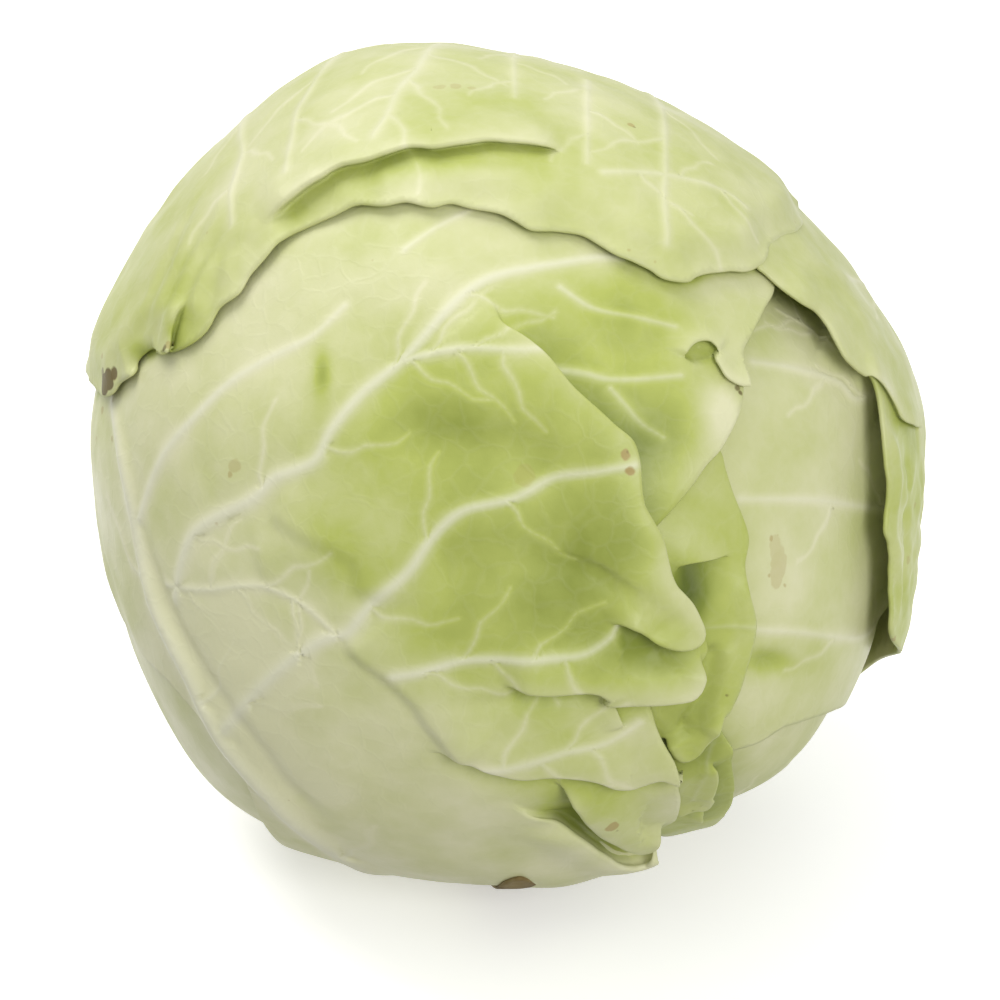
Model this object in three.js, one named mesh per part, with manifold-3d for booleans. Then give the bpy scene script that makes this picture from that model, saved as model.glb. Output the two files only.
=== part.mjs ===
// A green cabbage: a dense round head in its loose outer leaves, standing on its cut stalk.
// Millimetres, +Z up. The origin is the middle of the stalk's cut face, and the front is -Y.
import * as THREE from 'three';
import { mergeVertices } from 'three/addons/utils/BufferGeometryUtils.js';
import Module from 'manifold-3d';

const { degToRad } = THREE.MathUtils;
const wasm = await Module();
wasm.setup();

// The head's size. Its flat underside stays clear of the surface, and the shoulder is how
// widely the side turns into it.
const headWidth = 175;
const headMiddle = new THREE.Vector3(-3, 0, 84);
const headDepthRadius = 89;
const underClearance = 2.2;
const shoulderWidth = 16;
const lowestSideSlope = -0.2;

// The leaves, and how far apart their layers lie. A rib and a lobe sink into their leaf.
const leafThickness = 1;
const layerStep = 2;
const ribStep = 11;
const ribFoot = 0.85;
const ribSection = [[-1, 0], [-0.5, 0.75], [0, 1], [0.5, 0.75], [1, 0]];
const lobeThickness = 0.9;
const lobeRoot = -0.3;
const lobeRows = [0, 0.35, 0.7, 1];
const lobeEndShare = 0.12;
const smallestDetail = 0.08;

// The heart and the cut stalk.
const heartDepth = 13.2;
const heartLeaves = { rows: 14, columns: 28, wraps: 5, lean: 1.5, step: 1.2 };
const stalk = { cutRadius: 16.2, rimRadius: 17, topRadius: 14.2, height: 12.6, rim: 0.9, sides: 32 };

// The outer leaves are drawn in a front view, a square picture of 1000 points that looks a
// little down on the head. The limb is the head's own edge there, in points from the middle.
const viewTilt = degToRad(25);
const viewFocal = 2778;
const viewMiddle = { x: 507, y: 463 };
const meanLimb = 422;
const viewDistance = headWidth / 2 / Math.sin(Math.atan(meanLimb / viewFocal));
const viewPasses = 8;
const toViewer = new THREE.Vector3(0, -Math.cos(viewTilt), Math.sin(viewTilt));
const viewUp = new THREE.Vector3(0, Math.sin(viewTilt), Math.cos(viewTilt));

// The limb of the outermost layer, every 20 degrees clockwise from the top of the picture.
const limb = [411, 394, 393, 405, 428, 429, 453, 466, 434, 436, 446, 465, 446, 434, 437, 430, 433, 440];

// Layers, counted inward from the outermost leaf.
const layer = { cap: 0, side: 1, stub: 1, front: 2, tucked: 3.1, left: 3.1, right: 4.2, lower: 5.5 };

function limbRadius(bearing) {
  const turn = ((bearing / (2 * Math.PI)) % 1 + 1) % 1 * limb.length;
  const knot = Math.floor(turn);
  const step = turn - knot;
  const [before, start, end, after] = [-1, 0, 1, 2].map((k) => limb[(knot + k + limb.length) % limb.length]);
  const slope = (end - before) / 2;
  const nextSlope = (after - start) / 2;
  const bend = 3 * (end - start) - 2 * slope - nextSlope;
  const twist = 2 * (start - end) + slope + nextSlope;
  const points = start + step * (slope + step * (bend + step * twist));
  return viewDistance * Math.sin(Math.atan(points / viewFocal));
}

function softMin(a, b, width) {
  const blend = Math.max(width - Math.abs(a - b), 0) / width;
  return Math.min(a, b) - blend * blend * width / 4;
}

// The outermost layer's distance from the head's middle, with a flattened underside.
function reach(dir) {
  const facing = dir.dot(toViewer);
  const bearing = Math.atan2(dir.x, dir.dot(viewUp));
  const side = headDepthRadius * facing ** 2 + limbRadius(bearing) * (1 - facing ** 2);
  if (dir.z > lowestSideSlope) return side;
  return softMin(side, (headMiddle.z - underClearance) / -dir.z, shoulderWidth);
}

// The direction of a point of the front view, on a layer that lies at this depth.
function seen(x, y, depth = 0) {
  const across = x - viewMiddle.x;
  const rise = viewMiddle.y - y;
  const rayAngle = Math.atan(Math.hypot(across, rise) / viewFocal);
  const miss = viewDistance * Math.sin(rayAngle);
  const side = new THREE.Vector3(across, 0, 0).addScaledVector(viewUp, rise).normalize();
  const dir = side.clone();
  for (let pass = 0; pass < viewPasses; pass += 1) {
    const angle = Math.asin(Math.min(1, miss / (reach(dir) - depth))) - rayAngle;
    dir.copy(side).multiplyScalar(Math.sin(angle)).addScaledVector(toViewer, Math.cos(angle));
  }
  return dir;
}

// The direction of a longitude, from the front and positive to the right, and a latitude.
function at(longitude, latitude) {
  const lon = degToRad(longitude);
  const lat = degToRad(latitude);
  return new THREE.Vector3(Math.sin(lon) * Math.cos(lat), -Math.cos(lon) * Math.cos(lat), Math.sin(lat));
}

const onView = (points, depth) => points.map(([x, y]) => seen(x, y, depth));
const onHead = (points) => points.map(([longitude, latitude]) => at(longitude, latitude));

const depthOf = (name) => layer[name] * layerStep;

// The leaves that lie deepest dip into a cleft at the lower right of the front leaf.
const cleft = {
  top: seen(676, 560),
  bottom: seen(694, 660),
  depth: 2.4,
  width: 11,
  fromLayer: depthOf('tucked'),
};

function cleftDip(dir, depth) {
  if (depth < cleft.fromLayer) return 0;
  const stretch = new THREE.Line3(cleft.top, cleft.bottom);
  const gap = stretch.closestPointToPoint(dir, true, new THREE.Vector3()).distanceTo(dir) * headDepthRadius;
  return cleft.depth * Math.exp(-((gap / cleft.width) ** 2));
}

// A point on the outer face of the layer at this depth, raised by a lift.
function onLayer(dir, depth, lift = 0) {
  return dir.clone().multiplyScalar(reach(dir) - depth - cleftDip(dir, depth) + lift).add(headMiddle);
}

// A closed mesh whose faces point out, whichever way round its outline ran.
function closedMesh(points, index) {
  let volume = 0;
  for (let i = 0; i < index.length; i += 3) {
    volume += points[index[i]].dot(points[index[i + 1]].clone().cross(points[index[i + 2]]));
  }
  if (volume < 0) index.reverse();
  const geometry = new THREE.BufferGeometry().setFromPoints(points);
  geometry.setIndex(index);
  return geometry;
}

// Several closed meshes that sink into each other, as one without closed hollows.
function fuse(geometries) {
  const solids = geometries.map((geometry) => {
    const merged = mergeVertices(geometry);
    return new wasm.Manifold(new wasm.Mesh({
      numProp: 3,
      vertProperties: merged.attributes.position.array,
      triVerts: new Uint32Array(merged.index.array),
    }));
  });
  const bodies = wasm.Manifold.union(solids).simplify(smallestDetail).decompose();
  const mesh = bodies.sort((a, b) => b.volume() - a.volume())[0].getMesh();
  const geometry = new THREE.BufferGeometry();
  geometry.setAttribute('position', new THREE.BufferAttribute(mesh.vertProperties, 3));
  geometry.setIndex(new THREE.BufferAttribute(mesh.triVerts, 1));
  return geometry;
}

// Directions along a smooth line, evenly spaced.
function along(line, steps) {
  return new THREE.CatmullRomCurve3(line).getSpacedPoints(steps).map((point) => point.normalize());
}

// Directions round a smooth closed outline, no further apart than the spacing and with all its corners.
function around(outline, spacing) {
  const curve = new THREE.CatmullRomCurve3(outline, true);
  return outline.flatMap((start, i) => {
    const end = outline[(i + 1) % outline.length];
    const steps = Math.max(1, Math.round(start.angleTo(end) * headDepthRadius / spacing));
    const shares = Array.from({ length: steps }, (_, step) => (i + step / steps) / outline.length);
    return shares.map((share) => curve.getPoint(share).normalize());
  });
}

// A leaf's blade: spokes run from its middle to its outline, and rings cross them. Both faces
// are split alike, and a rim joins them.
function blade({ middle, outline, spacing, rings, depth }) {
  const rimDirs = around(outline, spacing);
  const spokes = rimDirs.length;
  const points = [];
  for (const lift of [0, -leafThickness]) {
    points.push(onLayer(middle, depth, lift));
    for (let ring = 1; ring <= rings; ring += 1) {
      for (const rimDir of rimDirs) {
        const angle = middle.angleTo(rimDir);
        const dir = middle.clone().multiplyScalar(Math.sin((1 - ring / rings) * angle));
        dir.addScaledVector(rimDir, Math.sin(ring / rings * angle)).normalize();
        points.push(onLayer(dir, depth, lift));
      }
    }
  }
  const index = [];
  const centre = (face) => face * (1 + rings * spokes);
  const vertex = (face, ring, spoke) => centre(face) + 1 + (ring - 1) * spokes + spoke % spokes;
  const add = (face, corners) => index.push(...(face ? corners.reverse() : corners));
  for (let spoke = 0; spoke < spokes; spoke += 1) {
    for (const face of [0, 1]) {
      add(face, [centre(face), vertex(face, 1, spoke), vertex(face, 1, spoke + 1)]);
      for (let ring = 1; ring < rings; ring += 1) {
        const [a, b] = [vertex(face, ring, spoke), vertex(face, ring + 1, spoke)];
        const [d, c] = [vertex(face, ring, spoke + 1), vertex(face, ring + 1, spoke + 1)];
        const [a0, b0] = [vertex(0, ring, spoke), vertex(0, ring + 1, spoke)];
        const [d0, c0] = [vertex(0, ring, spoke + 1), vertex(0, ring + 1, spoke + 1)];
        const shortest = points[a0].distanceTo(points[c0]) < points[b0].distanceTo(points[d0]);
        if (shortest) [[a, b, c], [a, c, d]].forEach((corners) => add(face, corners));
        else [[a, b, d], [b, c, d]].forEach((corners) => add(face, corners));
      }
    }
    const [outer, outerNext] = [vertex(0, rings, spoke), vertex(0, rings, spoke + 1)];
    const [inner, innerNext] = [vertex(1, rings, spoke), vertex(1, rings, spoke + 1)];
    index.push(outer, inner, innerNext, outer, innerNext, outerNext);
  }
  return closedMesh(points, index);
}

// A rib is a bar with sloped sides along a line, sunk into its leaf, which thins along the way.
function rib({ line, depth, height, width, taper = 0.6 }) {
  const length = new THREE.CatmullRomCurve3(line).getLength() * headDepthRadius;
  const steps = Math.max(3, Math.round(length / ribStep));
  const dirs = along(line, steps);
  const points = [];
  dirs.forEach((dir, i) => {
    const ahead = dirs[Math.min(i + 1, steps)].clone().sub(dirs[Math.max(i - 1, 0)]).normalize();
    const sideways = dir.clone().cross(ahead);
    const size = 1 - taper * i / steps;
    for (const [across, lift] of ribSection) {
      const shift = across * width * size / headDepthRadius;
      const moved = dir.clone().addScaledVector(sideways, shift).normalize();
      points.push(onLayer(moved, depth, lift ? lift * height * size : -ribFoot));
    }
  });
  const corners = ribSection.length;
  const index = [];
  for (let i = 0; i < steps; i += 1) {
    for (let j = 0; j < corners; j += 1) {
      const [a, b] = [i * corners + j, i * corners + (j + 1) % corners];
      index.push(a, b, b + corners, a, b + corners, a + corners);
    }
  }
  const end = steps * corners;
  for (let j = 1; j + 1 < corners; j += 1) index.push(0, j + 1, j, end, end + j, end + j + 1);
  return closedMesh(points, index);
}

// A lobe is a lip of its leaf that rises from a buried root line to a free edge.
function lobe({ root, edge, depth, lift, steps }) {
  const [roots, edges] = [along(root, steps), along(edge, steps)];
  const points = [];
  for (const face of [0, 1]) {
    for (let i = 0; i <= steps; i += 1) {
      const turn = Math.PI * THREE.MathUtils.lerp(lobeEndShare, 1 - lobeEndShare, i / steps);
      const swell = lift * Math.sin(turn);
      for (const share of lobeRows) {
        const dir = roots[i].clone().lerp(edges[i], share).normalize();
        const height = THREE.MathUtils.lerp(lobeRoot, swell, THREE.MathUtils.smoothstep(share, 0, 1));
        points.push(onLayer(dir, depth, height - face * lobeThickness));
      }
    }
  }
  const index = [];
  const vertex = (face, i, row) => (face * (steps + 1) + i) * lobeRows.length + row;
  const wall = (a, b, c, d) => index.push(a, b, c, a, c, d);
  const last = lobeRows.length - 1;
  for (let i = 0; i < steps; i += 1) {
    for (let row = 0; row < last; row += 1) {
      wall(vertex(0, i, row), vertex(0, i, row + 1), vertex(0, i + 1, row + 1), vertex(0, i + 1, row));
      wall(vertex(1, i, row), vertex(1, i + 1, row), vertex(1, i + 1, row + 1), vertex(1, i, row + 1));
    }
    wall(vertex(0, i, last), vertex(1, i, last), vertex(1, i + 1, last), vertex(0, i + 1, last));
    wall(vertex(0, i + 1, 0), vertex(1, i + 1, 0), vertex(1, i, 0), vertex(0, i, 0));
  }
  for (let row = 0; row < last; row += 1) {
    wall(vertex(0, 0, row), vertex(1, 0, row), vertex(1, 0, row + 1), vertex(0, 0, row + 1));
    wall(vertex(0, steps, row + 1), vertex(1, steps, row + 1), vertex(1, steps, row), vertex(0, steps, row));
  }
  return closedMesh(points, index);
}

// A whole leaf is its blade with its ribs and lobes.
function leaf({ ribs = [], lobes = [], ...shape }) {
  return fuse([
    blade(shape),
    ...ribs.map((item) => rib({ depth: shape.depth, ...item })),
    ...lobes.map((item) => lobe({ depth: shape.depth, ...item })),
  ]);
}

// The front leaf covers the left and the front. Its thick midrib climbs the left side, its
// side ribs fan out to the right, and its gathered right margin lies in overlapping lobes.
function frontLeaf() {
  const depth = depthOf('front');
  const view = (points) => onView(points, depth);
  const outline = [
    ...view([[750, 236], [773, 286], [763, 315], [744, 346], [750, 376], [742, 409], [707, 466], [657, 512]]),
    ...view([[661, 540], [670, 579], [695, 610], [704, 640], [700, 688], [686, 728], [658, 735], [672, 765]]),
    ...view([[680, 802], [668, 834], [650, 858], [614, 876], [571, 887], [545, 880]]),
    ...onHead([[2, -62], [-14, -73], [-34, -77.4], [-52, -76.5], [-62, -66]]),
    ...view([[241, 775], [182, 702], [132, 646]]),
    ...onHead([[-100, 2], [-122, 20], [-134, 38], [-126, 56], [-90, 68]]),
    ...view([[400, 140], [500, 145], [600, 175], [680, 210]]),
  ];
  const ribs = [
    { line: [
      ...onHead([[-40, -76], [-30, -58]]),
      ...view([[338, 852], [257, 783], [185, 667], [136, 521], [118, 420]]),
    ], height: 2.4, width: 6.5, taper: 0.65 },
    { line: view([[185, 585], [257, 496], [331, 431], [401, 361], [464, 294], [530, 268], [621, 257]]),
      height: 1, width: 3 },
    { line: view([[250, 700], [324, 640], [369, 607], [433, 537], [515, 498], [626, 466]]), height: 1.1, width: 3 },
    { line: view([[394, 674], [461, 661], [543, 656], [600, 642]]), height: 0.9, width: 2.8 },
  ];
  const lobes = [
    { edge: view([[590, 632], [640, 629], [682, 643], [701, 631], [686, 597], [670, 579], [660, 538], [641, 504],
      [636, 461], [615, 429], [569, 386], [527, 338], [490, 297]]),
    root: view([[585, 600], [625, 585], [622, 540], [600, 495], [575, 450], [530, 400], [478, 318]]),
    lift: 3.2, steps: 18 },
    { edge: view([[500, 690], [573, 690], [625, 703], [682, 701], [703, 675], [704, 648]]),
      root: view([[505, 668], [570, 662], [630, 664], [668, 662], [684, 648]]), lift: 3, steps: 10 },
    { edge: view([[400, 748], [470, 760], [522, 776], [600, 780], [645, 777], [667, 768], [658, 740],
      [642, 712]]),
      root: view([[410, 722], [480, 735], [560, 745], [610, 745], [628, 733], [630, 712]]), lift: 3, steps: 12 },
    { edge: view([[545, 788], [576, 808], [604, 837], [645, 848], [668, 824], [677, 800], [664, 776]]),
      root: view([[575, 778], [600, 790], [624, 812], [642, 812], [650, 798], [646, 782]]), lift: 3, steps: 10 },
    { edge: view([[520, 822], [560, 834], [604, 857], [628, 861]]),
      root: view([[522, 845], [560, 860], [594, 870], [618, 868]]), lift: 2.2, steps: 6 },
  ];
  return leaf({ middle: seen(505, 565, depth), outline, spacing: 15, rings: 10, depth, ribs, lobes });
}

// The cap leaf comes up from the back and over the top. Its front margin is waved, and one
// pleat of it overlaps the strip along that margin.
function capLeaf() {
  const depth = depthOf('cap');
  const view = (points) => onView(points, depth);
  const outline = [
    ...view([[98, 393], [123, 358], [152, 352], [197, 323], [229, 288], [273, 233], [353, 196], [429, 198]]),
    ...view([[499, 205], [559, 222], [621, 249], [679, 275], [713, 267], [754, 264], [776, 240], [810, 211]]),
    ...onHead([[118, 38], [135, 22], [146, -5], [150, -32], [158, -55], [166, -75], [180, -77.5]]),
    ...onHead([[-166, -75], [-157, -58], [-148, -36], [-134, -14], [-116, 2], [-96, 12]]),
  ];
  const ribs = [
    { line: onHead([[180, -74], [179, -40], [177, 0], [174, 40], [165, 68]]), height: 1.8, width: 7, taper: 0.7 },
    { line: onHead([[178, -6], [-160, 22], [-130, 38]]), height: 1, width: 3 },
    { line: [...onHead([[176, 22], [-150, 55]]), ...view([[311, 87], [288, 173]])], height: 1, width: 3 },
    { line: [...onHead([[176, 30], [140, 60]]), ...view([[659, 103], [667, 243]])], height: 1, width: 3 },
  ];
  const pleat = {
    edge: view([[262, 226], [303, 192], [338, 171], [390, 157], [466, 147], [560, 153]]),
    root: view([[240, 196], [290, 152], [350, 128], [410, 118], [470, 114], [555, 122]]),
    lift: 2.4,
    steps: 14,
  };
  return leaf({ middle: at(178, 62), outline, spacing: 15, rings: 12, depth, ribs, lobes: [pleat] });
}

// The side leaf stands on the right. Its ragged front margin is a narrow strip in this view.
function sideLeaf() {
  const depth = depthOf('side');
  const outline = [
    ...onView([[757, 262], [789, 292], [828, 324], [847, 356], [878, 384], [888, 440]], depth),
    ...onView([[886, 504], [893, 581], [893, 632]], depth),
    ...onHead([[87, -30], [97, -48], [108, -64], [122, -76.5], [138, -75], [143, -58]]),
    ...onHead([[152, -30], [156, 0], [150, 28], [130, 46], [100, 58], [66, 60]]),
  ];
  const ribs = [
    { line: onHead([[129, -74], [124, -40], [118, 0], [106, 32]]), height: 1.8, width: 6, taper: 0.7 },
    { line: onHead([[119, 2], [100, 22], [80, 34]]), height: 0.9, width: 2.8 },
  ];
  return leaf({ middle: at(118, 2), outline, spacing: 14, rings: 6, depth, ribs });
}

// The tucked leaf lies in the cleft, under the front leaf's lobes and over the right leaf.
function tuckedLeaf() {
  const depth = depthOf('tucked');
  const outline = [
    ...onView([[719, 440], [733, 492], [749, 541], [745, 588], [752, 620], [737, 687]], depth),
    ...onView([[726, 712], [728, 730], [736, 756], [736, 786], [728, 812], [696, 828], [670, 826]], depth),
    ...onView([[644, 780], [632, 710], [628, 620], [640, 530], [672, 440]], depth),
  ];
  return blade({ middle: seen(692, 650, depth), outline, spacing: 8, rings: 5, depth });
}

// The right leaf is the pale, tight leaf under the others on the right.
function rightLeaf() {
  const depth = depthOf('right');
  const view = (points) => onView(points, depth);
  const outline = [
    ...view([[650, 300], [630, 420], [615, 560], [620, 680], [650, 745], [724, 757], [782, 728], [839, 709]]),
    ...onHead([[82, -36], [93, -57], [116, -74.5], [128, -75.5], [138, -58], [140, -30], [146, 0]]),
    ...onHead([[140, 30], [110, 50], [70, 60], [42, 56]]),
  ];
  const ribs = [
    { line: onHead([[119, -72], [110, -40], [104, 0], [98, 36]]), height: 1.6, width: 5, taper: 0.7 },
    { line: [...onHead([[107, -24], [96, -16]]), ...view([[871, 630], [800, 632], [753, 630]])],
      height: 0.7, width: 2.6 },
    { line: [...onHead([[103, 14], [94, 18]]), ...view([[851, 400], [812, 373], [764, 364]])],
      height: 0.7, width: 2.6 },
  ];
  return leaf({ middle: at(88, 2), outline, spacing: 14, rings: 6, depth, ribs });
}

// The lower leaf shows along the bottom right, under the right leaf's lower margin.
function lowerLeaf() {
  const depth = depthOf('lower');
  const outline = [
    ...onHead([[8, -30], [20, -16], [46, -12], [72, -14], [90, -26], [86, -44], [72, -62], [60, -73]]),
    ...onHead([[40, -74], [22, -70], [8, -56]]),
  ];
  const ribs = [{ line: onHead([[50, -72], [52, -56], [56, -36]]), height: 1.2, width: 5, taper: 0.5 }];
  return leaf({ middle: at(50, -42), outline, spacing: 12, rings: 4, depth, ribs });
}

// The left leaf shows along the bottom left, past the front leaf's lower margin.
function leftLeaf() {
  const depth = depthOf('left');
  const outline = [
    ...onHead([[-30, -34], [-36, -16], [-58, -5], [-88, 6], [-116, 15], [-146, 20], [-168, 10], [-176, -14]]),
    ...onHead([[-170, -46], [-152, -68], [-124, -77], [-94, -77], [-66, -74], [-38, -58]]),
  ];
  const ribs = [
    { line: onHead([[-110, -74], [-114, -44], [-120, -10], [-126, 6]]), height: 2, width: 6, taper: 0.7 },
    { line: onHead([[-115, -30], [-98, -16], [-84, -6]]), height: 0.9, width: 2.8 },
  ];
  return leaf({ middle: at(-116, -22), outline, spacing: 14, rings: 5, depth, ribs });
}

// The stub is the dried foot of a trimmed wrapper leaf, under the front leaf.
function leafStub() {
  const depth = depthOf('stub');
  const outline = [
    ...onView([[497, 880], [520, 882], [543, 880]], depth),
    ...onHead([[10, -64], [20, -76.5], [-6, -77.3], [-22, -76], [-9, -64]]),
  ];
  return blade({ middle: at(2, -67), outline, spacing: 8, rings: 2, depth });
}

// The heart is the tight mass of inner leaves, whose edges wind round it in low steps.
function heart() {
  const points = [];
  const addPoint = (longitude, latitude) => {
    const dir = at(longitude, latitude);
    const turn = heartLeaves.wraps * (longitude + heartLeaves.lean * latitude) / 360;
    const overlap = heartLeaves.step * (turn - Math.floor(turn)) * Math.cos(degToRad(latitude));
    points.push(onLayer(dir, heartDepth, -overlap));
  };
  const { rows, columns } = heartLeaves;
  addPoint(0, 90);
  for (let row = 1; row < rows; row += 1) {
    for (let column = 0; column < columns; column += 1) {
      addPoint(360 * column / columns, 90 - 180 * row / rows);
    }
  }
  addPoint(0, -90);
  const index = [];
  const last = points.length - 1;
  const vertex = (row, column) => 1 + (row - 1) * columns + column % columns;
  for (let column = 0; column < columns; column += 1) {
    index.push(0, vertex(1, column), vertex(1, column + 1));
    index.push(last, vertex(rows - 1, column + 1), vertex(rows - 1, column));
    for (let row = 1; row < rows - 1; row += 1) {
      index.push(vertex(row, column), vertex(row + 1, column), vertex(row + 1, column + 1));
      index.push(vertex(row, column), vertex(row + 1, column + 1), vertex(row, column + 1));
    }
  }
  return closedMesh(points, index);
}

// The stump is the cut stalk, whose flat face carries the head.
function stump() {
  const profile = [
    [0, 0], [stalk.cutRadius, 0], [stalk.rimRadius, stalk.rim],
    [stalk.topRadius, stalk.height], [0, stalk.height],
  ].map(([radius, height]) => new THREE.Vector2(radius, height));
  return new THREE.LatheGeometry(profile, stalk.sides).rotateX(Math.PI / 2);
}

const cabbage = new THREE.Group();
cabbage.name = 'green_cabbage';

function addPiece(name, geometry, color, roughness) {
  geometry.computeVertexNormals();
  const piece = new THREE.Mesh(geometry, new THREE.MeshStandardMaterial({ color, roughness, metalness: 0 }));
  piece.name = name;
  cabbage.add(piece);
}

addPiece('stump', stump(), '#cdbf95', 0.8);
addPiece('heart', heart(), '#d8dcae', 0.55);
addPiece('lower_leaf', lowerLeaf(), '#cfcfa2', 0.5);
addPiece('right_leaf', rightLeaf(), '#d6dba8', 0.45);
addPiece('left_leaf', leftLeaf(), '#c6c99a', 0.5);
addPiece('tucked_leaf', tuckedLeaf(), '#b4bc6c', 0.5);
addPiece('front_leaf', frontLeaf(), '#bcc67c', 0.45);
addPiece('side_leaf', sideLeaf(), '#c6d07a', 0.5);
addPiece('cap_leaf', capLeaf(), '#d2dc8e', 0.45);
addPiece('leaf_stub', leafStub(), '#8a7548', 0.85);

export default cabbage;
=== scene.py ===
import bpy
import numpy as np
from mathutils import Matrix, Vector, noise
from mathutils.geometry import delaunay_2d_cdt
from mathutils.kdtree import KDTree


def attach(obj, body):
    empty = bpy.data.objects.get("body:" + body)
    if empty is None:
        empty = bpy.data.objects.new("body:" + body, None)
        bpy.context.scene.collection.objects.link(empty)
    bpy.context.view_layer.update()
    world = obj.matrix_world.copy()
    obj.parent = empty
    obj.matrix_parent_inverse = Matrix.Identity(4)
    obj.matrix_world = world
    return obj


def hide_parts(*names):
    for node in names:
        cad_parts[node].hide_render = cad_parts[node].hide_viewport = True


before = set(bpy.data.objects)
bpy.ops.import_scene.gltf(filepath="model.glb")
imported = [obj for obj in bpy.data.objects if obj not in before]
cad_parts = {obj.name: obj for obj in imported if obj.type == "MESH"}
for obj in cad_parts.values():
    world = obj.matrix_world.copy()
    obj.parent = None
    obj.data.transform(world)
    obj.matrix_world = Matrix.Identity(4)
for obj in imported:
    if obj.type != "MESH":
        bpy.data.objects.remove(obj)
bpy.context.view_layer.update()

MM = 0.001


# The camera looks down a little at the front of the head, from where the photograph was taken.
# A picture point is one of the 1000 by 1000 points of its frame.
PICTURE = 1000
VIEW_TILT = np.radians(25)
VIEW_FOCAL = 2778
VIEW_MIDDLE = np.array([507, 463])
HEAD_WIDTH = 175 * MM
MEAN_LIMB = 422
SENSOR_MM = 36
HEAD_MIDDLE = np.array([-3, 0, 84]) * MM
TO_VIEWER = np.array([0, -np.cos(VIEW_TILT), np.sin(VIEW_TILT)])
VIEW_UP = np.array([0, np.sin(VIEW_TILT), np.cos(VIEW_TILT)])
VIEW_DISTANCE = HEAD_WIDTH / 2 / np.sin(np.arctan(MEAN_LIMB / VIEW_FOCAL))

lens = bpy.data.cameras.new("camera")
lens.sensor_width = SENSOR_MM
lens.lens = SENSOR_MM * VIEW_FOCAL / PICTURE
lens.shift_x = -(VIEW_MIDDLE[0] - PICTURE / 2) / PICTURE
lens.shift_y = (VIEW_MIDDLE[1] - PICTURE / 2) / PICTURE
camera = bpy.data.objects.new("camera", lens)
camera.location = Vector(HEAD_MIDDLE + TO_VIEWER * VIEW_DISTANCE)
camera.rotation_mode = "QUATERNION"
camera.rotation_quaternion = Vector(-TO_VIEWER).to_track_quat("-Z", "Y")
bpy.context.collection.objects.link(camera)
bpy.context.scene.camera = camera


# The floor is a wide sheet of white studio acrylic, lit a little from below. Soft boxes light
# the head from above and from the front, and the walls grow dark towards the ground.
FLOOR_SIZE = 6.0
FLOOR_WHITE = "#ffffff"
FLOOR_GLOW = 0.3
FLOOR_ROUGHNESS = 0.9
WALLS_HIGH = "#fbfdff"
WALLS_LOW = "#bdbbaf"
WALLS_STRENGTH = 0.72
WALLS_TURN = {"From Min": -0.5, "From Max": 0.35}
SOFT_BOXES = {
    "top_box": {"place": (-0.5, 0.2, 1.1), "size": 0.8, "power": 8.4, "color": "#fffdf6"},
    "front_box": {"place": (0.6, -1.1, 0.6), "size": 0.7, "power": 9.0, "color": "#fffefa"},
}


def linear(color):
    """A colour written as sRGB hex, in the linear values that a shader takes."""
    parts = np.array([int(color[place:place + 2], 16) for place in (1, 3, 5)]) / 255
    low = parts / 12.92
    high = ((parts + 0.055) / 1.055) ** 2.4
    return (*np.where(parts <= 0.04045, low, high), 1.0)


def add(tree, kind, settings=None, **links):
    """Adds a node to a tree. Each setting goes to an input or a property, and a link to an input."""
    node = tree.nodes.new(kind)
    for name, value in (settings or {}).items():
        if isinstance(name, int) or name in node.inputs:
            node.inputs[name].default_value = value
        else:
            setattr(node, name, value)
    for name, source in links.items():
        place = int(name[1:]) if name[0] == "_" else name.replace("__", " ")
        tree.links.new(source, node.inputs[place])
    return node


bpy.context.scene.view_settings.view_transform = "Standard"

floor_mesh = bpy.data.meshes.new("floor")
half = FLOOR_SIZE / 2
corners = [(-half, -half, 0), (half, -half, 0), (half, half, 0), (-half, half, 0)]
floor_mesh.from_pydata(corners, [], [(0, 1, 2, 3)])
floor = bpy.data.objects.new("floor", floor_mesh)
bpy.context.collection.objects.link(floor)
acrylic = bpy.data.materials.new("lit_white_acrylic")
acrylic.use_nodes = True
sheet = acrylic.node_tree.nodes["Principled BSDF"]
sheet.inputs["Base Color"].default_value = linear(FLOOR_WHITE)
sheet.inputs["Roughness"].default_value = FLOOR_ROUGHNESS
sheet.inputs["Emission Color"].default_value = linear(FLOOR_WHITE)
sheet.inputs["Emission Strength"].default_value = FLOOR_GLOW
floor_mesh.materials.append(acrylic)
floor.visible_diffuse = False

walls = bpy.data.worlds.new("studio_walls")
walls.use_nodes = True
way = add(walls.node_tree, "ShaderNodeTexCoord").outputs["Generated"]
height = add(walls.node_tree, "ShaderNodeSeparateXYZ", Vector=way).outputs["Z"]
up = add(walls.node_tree, "ShaderNodeMapRange", WALLS_TURN, Value=height).outputs[0]
ends = {"data_type": "RGBA", 6: linear(WALLS_LOW), 7: linear(WALLS_HIGH)}
shades = add(walls.node_tree, "ShaderNodeMix", ends, _0=up)
walls.node_tree.links.new(shades.outputs[2], walls.node_tree.nodes["Background"].inputs["Color"])
walls.node_tree.nodes["Background"].inputs["Strength"].default_value = WALLS_STRENGTH
bpy.context.scene.world = walls

for name, box in SOFT_BOXES.items():
    light = bpy.data.lights.new(name, "AREA")
    light.shape = "DISK"
    light.size = box["size"]
    light.energy = box["power"]
    light.color = linear(box["color"])[:3]
    lamp = bpy.data.objects.new(name, light)
    lamp.location = box["place"]
    aim = Vector(HEAD_MIDDLE) - Vector(box["place"])
    lamp.rotation_mode = "QUATERNION"
    lamp.rotation_quaternion = aim.to_track_quat("-Z", "Y")
    bpy.context.collection.objects.link(lamp)


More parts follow.
